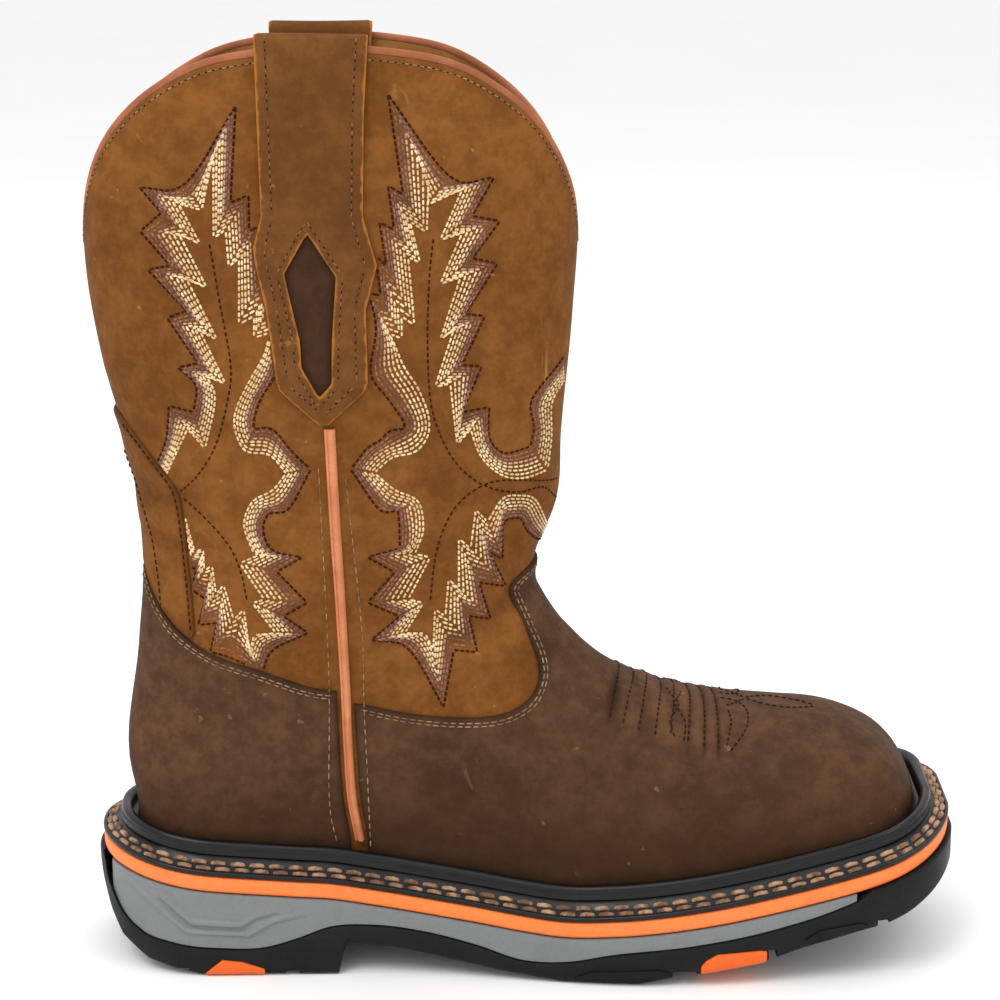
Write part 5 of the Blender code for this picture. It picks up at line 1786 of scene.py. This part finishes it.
# Thread. Embroidery of the shaft in side view and in millimetres, the same on both sides.
# columns: outer row x, z, inner row x, z
EMBROIDERY = (
    (
        (-48.0, 311.9, -34.9, 284.1), (-27.7, 284.5, -35.0, 275.7), (-13.0, 283.9, -23.7, 280.4),
        (-20.4, 271.3, -31.1, 263.7), (-11.0, 269.2, -23.8, 265.8), (-20.4, 257.1, -31.2, 248.9),
        (-11.8, 254.9, -24.4, 251.0), (-22.7, 238.2, -31.3, 229.8), (-16.1, 237.2, -26.7, 233.1),
        (-23.9, 220.7, -33.1, 213.4), (-17.2, 219.7, -28.0, 214.4), (-23.9, 204.1, -25.7, 192.7),
        (-14.6, 205.2, -21.1, 197.9), (-14.6, 194.4, -17.6, 187.9), (-9.9, 188.4, -10.5, 180.6),
        (-3.3, 188.8, -2.7, 178.3), (-0.1, 189.5, 6.2, 179.4), (1.1, 196.4, 7.6, 191.3),
        (0.3, 206.5, 7.5, 203.8), (12.2, 219.4, 12.8, 210.8),
    ),
    (
        (-48.0, 311.9, -34.9, 284.1), (-43.4, 279.2, -35.6, 266.4), (-48.3, 282.1, -41.2, 270.2),
        (-46.5, 267.5, -37.9, 256.2), (-51.3, 270.0, -41.9, 258.3), (-49.2, 255.6, -40.0, 235.1),
        (-52.5, 258.7, -44.3, 238.3), (-51.2, 245.4, -44.2, 230.6), (-54.9, 246.2, -48.3, 232.3),
        (-52.8, 233.9, -46.1, 226.8), (-54.8, 218.7, -43.4, 220.2), (-49.2, 209.8, -38.9, 213.0),
        (-44.1, 201.9, -35.5, 203.4), (-43.6, 198.9, -35.8, 196.0), (-48.7, 198.4, -40.2, 190.6),
        (-52.2, 194.9, -47.1, 189.4), (-56.3, 192.6, -51.2, 186.4), (-62.1, 184.9, -54.1, 183.6),
        (-52.5, 170.2, -47.2, 177.4), (-46.2, 170.0, -39.2, 172.9), (-45.7, 163.2, -37.5, 163.0),
        (-45.7, 155.8, -39.3, 156.8), (-56.9, 152.9, -40.5, 153.7), (-47.6, 147.1, -35.2, 152.2),
        (-57.1, 136.1, -43.0, 136.9), (-46.0, 130.7, -37.7, 135.3), (-56.1, 122.2, -44.3, 124.4),
        (-43.2, 118.7, -37.2, 124.0), (-30.8, 95.8, -34.3, 117.6), (-27.1, 117.1, -33.6, 132.5),
        (-18.7, 115.8, -30.0, 129.7), (-21.7, 128.9, -28.8, 143.5), (-13.9, 126.7, -25.2, 139.4),
        (-18.1, 141.1, -25.2, 158.5), (-8.4, 138.0, -21.1, 154.3), (-14.5, 152.2, -19.3, 168.7),
        (-9.7, 148.7, -15.2, 163.9), (-9.8, 161.9, -9.8, 172.0), (-7.4, 163.9, -4.5, 172.2),
        (-3.2, 163.2, 1.0, 170.3), (-1.2, 158.3, 4.3, 164.2), (4.9, 150.5, 7.3, 155.0),
    ),
    (
        (-97.8, 308.1, -105.5, 293.2), (-115.4, 282.4, -110.0, 273.9), (-131.1, 280.7, -117.9, 275.9),
        (-123.8, 272.6, -110.9, 262.6), (-131.4, 266.0, -118.0, 265.8), (-121.5, 255.1, -109.1, 247.9),
        (-129.2, 253.2, -115.9, 250.7), (-116.3, 239.8, -106.2, 230.2), (-123.1, 236.9, -111.9, 233.0),
        (-113.1, 221.8, -103.9, 215.0), (-120.2, 219.9, -110.2, 217.2), (-114.1, 214.0, -107.6, 209.5),
        (-115.4, 204.3, -111.8, 191.5), (-124.0, 205.9, -117.7, 198.1), (-125.5, 193.6, -122.1, 189.1),
        (-129.4, 184.3, -126.2, 180.4),
    ),
    (
        (-97.8, 308.1, -105.5, 293.2), (-100.3, 276.5, -106.3, 264.6), (-94.3, 279.1, -102.2, 267.5),
        (-94.4, 267.1, -101.5, 255.1), (-91.0, 268.8, -98.0, 258.0), (-90.3, 251.8, -98.6, 235.6),
        (-86.8, 254.1, -93.4, 238.6), (-88.3, 241.5, -93.7, 231.1), (-84.3, 243.8, -88.3, 232.9),
        (-82.8, 232.3, -90.4, 225.3), (-86.6, 218.9, -95.8, 215.8), (-92.0, 209.9, -100.5, 206.2),
        (-94.5, 202.7, -101.2, 198.9), (-94.6, 199.1, -97.8, 191.2), (-88.3, 199.2, -89.7, 190.2),
        (-81.6, 190.9, -84.6, 184.2), (-75.7, 185.0, -84.1, 183.5), (-83.8, 170.3, -89.1, 177.2),
        (-90.3, 169.0, -96.0, 173.1), (-92.6, 162.8, -99.2, 164.4), (-89.5, 155.4, -96.0, 154.0),
        (-79.3, 153.1, -94.2, 153.7), (-88.3, 147.7, -101.1, 150.4), (-78.0, 136.3, -92.9, 137.3),
        (-86.4, 131.2, -97.1, 135.9), (-77.9, 125.0, -89.1, 124.9), (-90.5, 118.5, -96.9, 124.0),
        (-94.3, 110.2, -98.6, 117.7), (-106.1, 115.4, -100.2, 133.3), (-112.7, 116.8, -103.9, 129.4),
        (-109.9, 127.7, -107.1, 141.9), (-116.7, 126.4, -109.9, 138.3), (-113.9, 136.1, -111.0, 148.8),
        (-118.7, 139.2, -113.8, 146.6), (-116.6, 147.0, -113.9, 154.7), (-120.2, 149.0, -117.0, 153.1),
        (-121.1, 165.1, -120.1, 165.8),
    ),
)
# The thread of each row, from the outer row to the inner one.
ROW_THREADS = ("maroon", "mauve", "mauve", "rose", "cream", "cream", "cream", "cream")
THREADS = {
    "maroon": maroon_thread, "mauve": mauve_thread, "rose": rose_thread, "cream": cream_thread,
}
# Single dark lines between the flames. columns: x, z
VEINS = (
    ((-107.8, 262.9), (-105.2, 244.7), (-101.9, 221.6), (-103.5, 208.5), (-108.2, 192.6),
     (-115.0, 181.5), (-122.4, 173.9)),
    ((-122.4, 173.9), (-112.8, 166.0), (-104.8, 156.7), (-100.9, 147.0), (-98.9, 135.9)),
    ((-33.4, 264.4), (-34.9, 250.2), (-35.6, 227.0), (-34.3, 205.8), (-28.6, 190.0),
     (-21.7, 181.1), (-13.4, 175.9), (-3.9, 173.4), (4.8, 173.4), (10.4, 166.4)),
    ((10.0, 174.5), (-3.9, 177.8), (-14.6, 178.1), (-24.0, 172.7), (-29.9, 163.8),
     (-33.5, 151.5), (-35.3, 135.2)),
)
# Rows beside the side seam, and a row down the back stay, in side view. columns: x, z
SEAM_ROWS = (
    ((-73.1, 186), (-72.0, 150), (-71.0, 106), (-71.7, 62), (-69.2, 44)),
    ((-64.0, 182), (-62.0, 160), (-59.1, 124), (-58.9, 98), (-58.0, 72), (-57.2, 42)),
)
STAY_ROW = ((-142.5, 186), (-138.5, 174), (-133.4, 158), (-131.0, 142), (-130.2, 130))
# The figure over the wrinkles and ahead of them, in plan: crossed lines, a loop with its inner
# line, and half of a pointed oval. columns: x, y
TOE_FIGURE = (
    ((50.6, 6.0), (51.9, 11.0), (54.4, 15.5), (52.3, 20.0), (50.4, 24.5), (51.6, 30.0)),
    ((56.0, 6.0), (54.9, 11.0), (52.6, 15.5), (54.6, 20.0), (56.0, 24.5), (54.6, 30.2)),
    ((70.5, 3.0), (76.0, 3.4), (79.2, 9.0), (79.6, 16.0), (77.2, 23.5), (70.9, 31.2)),
    ((72.6, 12.0), (73.0, 19.0), (71.6, 25.0), (70.0, 30.0)),
    ((72.0, 9.6), (76.0, 6.0), (80.4, 0.6)),
    ((80.4, 0.6), (86.0, 4.4), (93.0, 6.0), (100.0, 4.2), (106.5, 0.6)),
)

# Stitches: from one to the next, and the length of each.
ROW_STITCH = 0.0022, 0.0020
VEIN_STITCH = 0.0023, 0.0017
EDGE_STITCH = 0.0029, 0.0023
SEAM_STITCH = 0.0036, 0.0026
DARK_STITCH = 0.0026, 0.0020
FIGURE_STITCH = 0.0025, 0.0020
STRAP_STITCH, STRAP_HOLE_SHADE = (0.0026, 0.0016), (0.0026, 0.0010)
COLLAR_STITCH, COLLAR_HOLE_SHADE = (0.0025, 0.0016), (0.0025, 0.0009)
WELT_STITCH = 0.0069, 0.0063
BETWEEN_STITCHES = 0.5  # the shift that puts the needle holes' painted shade between the stitches


def model_stitch():
    """One stitch along X: a plump lozenge of thread whose ends dip into their holes."""
    clear_selection()
    bpy.ops.mesh.primitive_uv_sphere_add(segments=5, ring_count=4, radius=0.5)
    obj = bpy.context.object
    x, y, z = places(obj)[:, [2, 1, 0]].T
    reach = np.sign(x) * np.where(np.abs(x) > 0.45, 0.5, np.abs(x) * 1.02)
    swell = np.where(np.abs(x) > 0.3, 1.22, 1.0)
    put(obj, np.stack([reach, y * swell, z * swell - 0.55 * np.abs(2 * reach) ** 3], 1))
    edit_whole(obj, bpy.ops.mesh.quads_convert_to_tris)
    turn_outwards(obj)
    points = places(obj)
    faces = np.array([list(face.vertices) for face in obj.data.polygons])
    bpy.data.objects.remove(obj, do_unlink=True)
    return points, faces


STITCH, STITCH_FACES = model_stitch()


SAMPLE = 0.0006  # between the points where a line is laid on the leather


def along_skin(skin, line, cast):
    """Points and normals where a line, seen in side view or plan, lies on the leather."""
    points, normals = [], []
    for (a, b), (c, d) in zip(line, line[1:]):
        count = max(2, int(math.hypot(c - a, d - b) / SAMPLE))
        for t in np.linspace(0, 1, count, endpoint=False):
            hit = skin.ray_cast(*cast(a + (c - a) * t, b + (d - b) * t))
            if hit[0] is not None:
                points.append(hit[0])
                normals.append(hit[1])
    return np.array(points), np.array(normals)


def stitch_run(points, normals, pitch, length, start=0.0):
    """Ends and normals of the stitches along one line on the leather."""
    if len(points) < 2:
        return np.zeros((0, 3, 3))
    place = np.concatenate([[0], np.cumsum(np.linalg.norm(np.diff(points, axis=0), axis=1))])
    if place[-1] < length * 0.6:
        return np.zeros((0, 3, 3))
    count = max(1, round(place[-1] / pitch))
    middle = (np.arange(count) + 0.5 + start) * place[-1] / count
    middle = middle[middle < place[-1]]
    half = length / 2 * place[-1] / count / pitch

    def at(s, values):
        return np.stack([np.interp(s, place, values[:, k]) for k in range(3)], 1)

    return np.stack([at(middle - half, points), at(middle + half, points), at(middle, normals)], 1)


def sewn(skin, line, cast, stitch, start=0.0):
    """The stitches along a line, seen in side view or plan, where it lies on the leather."""
    return stitch_run(*along_skin(skin, line, cast), *stitch, start)


def thread_piece(name, runs, finish, thickness, height=0.35):
    """All the stitches of one thread, copied from the one that was modelled.

    Height is how far their middle stands over the leather, as a share of their thickness.
    """
    runs = np.concatenate([run for run in runs if len(run)])
    a, b, normal = runs[:, 0], runs[:, 1], runs[:, 2]
    along = b - a
    length = np.linalg.norm(along, axis=1)[:, None]
    along /= length
    normal = normal - along * (normal * along).sum(1)[:, None]
    normal /= np.linalg.norm(normal, axis=1)[:, None]
    across = np.cross(normal, along)
    centre = (a + b) / 2 + normal * thickness * height
    shape = STITCH[None] * np.array([1.0, thickness, thickness])
    points = (
        centre[:, None]
        + along[:, None] * shape[..., :1] * length[:, None]
        + across[:, None] * shape[..., 1:2]
        + normal[:, None] * shape[..., 2:]
    )
    count = len(STITCH)
    faces = STITCH_FACES[None] + np.arange(len(runs))[:, None, None] * count
    mesh = bpy.data.meshes.new(name)
    mesh.from_pydata(points.reshape(-1, 3).tolist(), [], faces.reshape(-1, 3).tolist())
    obj = bpy.data.objects.new(name, mesh)
    bpy.context.scene.collection.objects.link(obj)
    paint(obj, finish)
    smooth(obj, 70)
    return ready(obj, None)


def flowing(line, sharpest=62):
    """A row of embroidery: its sharp tips stay, and what bends gently between them is rounded."""
    line = np.asarray(line)
    turn = np.diff(np.unwrap(np.arctan2(*np.diff(line, axis=0).T[::-1])))
    tips = [0, *(np.flatnonzero(np.abs(np.degrees(turn)) > sharpest) + 1), len(line) - 1]
    parts = [line[a : b + 1] for a, b in zip(tips, tips[1:])]
    return [rounded(part, 5) if len(part) > 2 else part for part in parts]


def beside(line, gap, inside):
    """A line moved sideways by a gap, to the side where the pattern lies."""
    points = np.array(line, float)
    slope = np.gradient(points, axis=0)
    slope /= np.linalg.norm(slope, axis=1)[:, None]
    across = np.stack([-slope[:, 1], slope[:, 0]], 1) * gap
    for moved in (points + across, points - across):
        depth = inside(np.stack([moved[:, 0], 0 * moved[:, 0], moved[:, 1]], 1))
        if np.median(depth) > 0:
            return moved[depth > gap * 0.9]
    return points


vamp_depth, counter_depth = pattern_depth(vamp_pattern), pattern_depth(counter_pattern)
stay_depth = pattern_depth(stay_pattern)
level, back, front = np.array(STRAP_OUTLINE).T
strap_back = np.stack([shaft_x(back), level * SHAFT_HEIGHT], 1)
strap_front = np.stack([shaft_x(front), level * SHAFT_HEIGHT], 1)
above = np.array([[0.0, 0.03]])
strap_loop = np.concatenate(
    [strap_back[:1] + above, strap_back, strap_front[::-1], strap_front[:1] + above]
)
strap_depth = pattern_depth(strap_loop)
strap_seam = grown(strap_loop, -0.0037)
around_window = grown(WINDOW_LINE, 0.0024)
strap_lines = [
    *zip(strap_seam[:-1], strap_seam[1:]), *zip(around_window, np.roll(around_window, -1, 0)),
]


def uncovered(run, margin=0.0006):
    """Drops the stitches that would lie under the straps, the seam cord or the overlays."""
    if not len(run):
        return run
    middle = (run[:, 0] + run[:, 1]) / 2
    clear = np.ones(len(run), bool)
    for depth in (vamp_depth, counter_depth, stay_depth, strap_depth):
        clear &= depth(middle) < -margin
    seam = np.abs(middle[:, 0] - SEAM_LINE(middle[:, 2] / SHAFT_HEIGHT)) < SEAM_WIDTH * 0.7
    return run[clear & ~(seam & (middle[:, 2] < SEAM[-1][0] * SHAFT_HEIGHT))]


BOOT_SKIN = skin_of(upper, vamp, counter, back_stay)
for side, word in SIDES:
    cast = from_side(side)
    colours = {name: [] for name in THREADS}
    seams, dark, tawny, holes = [], [], [], []
    for arm in EMBROIDERY:
        pairs = np.array(arm) * MM
        for row, name in enumerate(ROW_THREADS):
            t = row / (len(ROW_THREADS) - 1)
            line = pairs[:, :2] * (1 - t) + pairs[:, 2:] * t
            for stretch in flowing(line):
                run = sewn(SHAFT_SKIN, stretch, cast, ROW_STITCH, 0.25 * (row % 2))
                colours[name].append(uncovered(run))
    for name, finish in THREADS.items():
        thread_piece(f"embroidery_{name}_{word}", colours[name], finish, 0.00080, 0.22)
    for vein in VEINS:
        line = rounded(np.array(vein) * MM)
        dark.append(uncovered(sewn(SHAFT_SKIN, line, cast, VEIN_STITCH)))

    for edge, depth in ((vamp_top, vamp_depth), (counter_top, counter_depth)):
        for gap in (0.0017, 0.0029):
            seams.append(sewn(BOOT_SKIN, beside(edge, gap, depth), cast, EDGE_STITCH))
    for line in SEAM_ROWS:
        seams.append(sewn(BOOT_SKIN, rounded(np.array(line) * MM), cast, SEAM_STITCH))
    dark.append(sewn(BOOT_SKIN, beside(stay_front, 0.0016, stay_depth), cast, DARK_STITCH))
    dark.append(sewn(BOOT_SKIN, rounded(np.array(STAY_ROW) * MM), cast, DARK_STITCH))

    strap_skin = skin_of(bpy.data.objects["strap_leather_" + word])
    for line in strap_lines:
        tawny.append(sewn(strap_skin, line, cast, STRAP_STITCH))
        # dark marks between the stitches: painted shade of the needle holes
        holes.append(sewn(strap_skin, line, cast, STRAP_HOLE_SHADE, BETWEEN_STITCHES))
    thread_piece("seam_stitches_" + word, seams, seam_thread, 0.00050)
    thread_piece("strap_stitches_" + word, tawny, tawny_thread, 0.00050)
    thread_piece("strap_needle_hole_shade_" + word, holes, dark_thread, 0.00052, 0.05)

    for row in WRINKLES:
        dark.append(sewn(BOOT_SKIN, wrinkle_line(row, side), from_above, DARK_STITCH))
    for figure in TOE_FIGURE:
        line = rounded(np.array([(x, side * y) for x, y in figure]) * MM)
        dark.append(sewn(BOOT_SKIN, line, from_above, FIGURE_STITCH))
    thread_piece("dark_stitches_" + word, dark, dark_thread, 0.00062)

# One row under the collar's cord, and two heavy rows round the welt.
down = BASE[-4][:-1] - rim_points
down /= np.linalg.norm(down, axis=1)[:, None]
hits = [SHAFT_SKIN.find_nearest(Vector(p)) for p in rim_points + down * 0.0019 + rim_away * MM]
collar_row = [np.array([hit[part] for hit in hits + hits[:1]]) for part in (0, 1)]
stitches = stitch_run(*collar_row, *COLLAR_STITCH)
# dark marks between the stitches: painted shade of the needle holes
collar_hole_shade = stitch_run(*collar_row, *COLLAR_HOLE_SHADE, BETWEEN_STITCHES)
thread_piece("collar_stitches", [stitches], seam_thread, 0.00048)
thread_piece("collar_needle_hole_shade", [collar_hole_shade], dark_thread, 0.00050, 0.05)

WELT_SKIN = skin_of(welt)
runs = []
for inset, start in ((0.0020, 0.0), (0.0040, 0.30)):
    lateral, medial = edge_lines(EDGE_INSET + inset, ALONG)
    loop = np.concatenate([lateral, medial[::-1], lateral[:1]])
    runs.append(sewn(WELT_SKIN, loop, from_above, WELT_STITCH, start))
thread_piece("welt_stitches", runs, welt_thread, 0.0020, 0.18)

# Floor and light.
clear_selection()
bpy.ops.mesh.primitive_plane_add(size=60, location=(0, 0, -0.0002))
floor = bpy.context.object
floor.name = "studio_floor"
paper = Finish("floor_paper", 0.9, Specular_IOR_Level=0.1)
cloud = paper.ramp(paper.noise(3, 3), 0.3, 0.7, 0.0, 0.3)
paint(floor, paper.done(paper.blend(cloud, (0.93, 0.93, 0.93), (0.90, 0.90, 0.90))))
floor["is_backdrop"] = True

world = bpy.data.worlds.new("studio")
world.use_nodes = True
world.node_tree.nodes["Background"].inputs["Color"].default_value = (1.0, 1.0, 1.0, 1.0)
world.node_tree.nodes["Background"].inputs["Strength"].default_value = 1.0
bpy.context.scene.world = world
MIDDLE = Vector((0, 0, 0.15))
for place, size, power in (
    ((-0.7, -0.9, 1.6), 0.9, 13.0),
    ((0.9, -0.5, 1.6), 0.8, 5.0),
    ((0.1, 0.9, 1.8), 1.2, 7.0),
):
    bpy.ops.object.light_add(type="AREA", location=place)
    lamp = bpy.context.object
    lamp.data.size = size
    lamp.data.energy = power
    lamp.rotation_euler = (MIDDLE - Vector(place)).to_track_quat("-Z", "Y").to_euler()

low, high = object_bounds()
bpy.context.scene.view_settings.view_transform = "Standard"
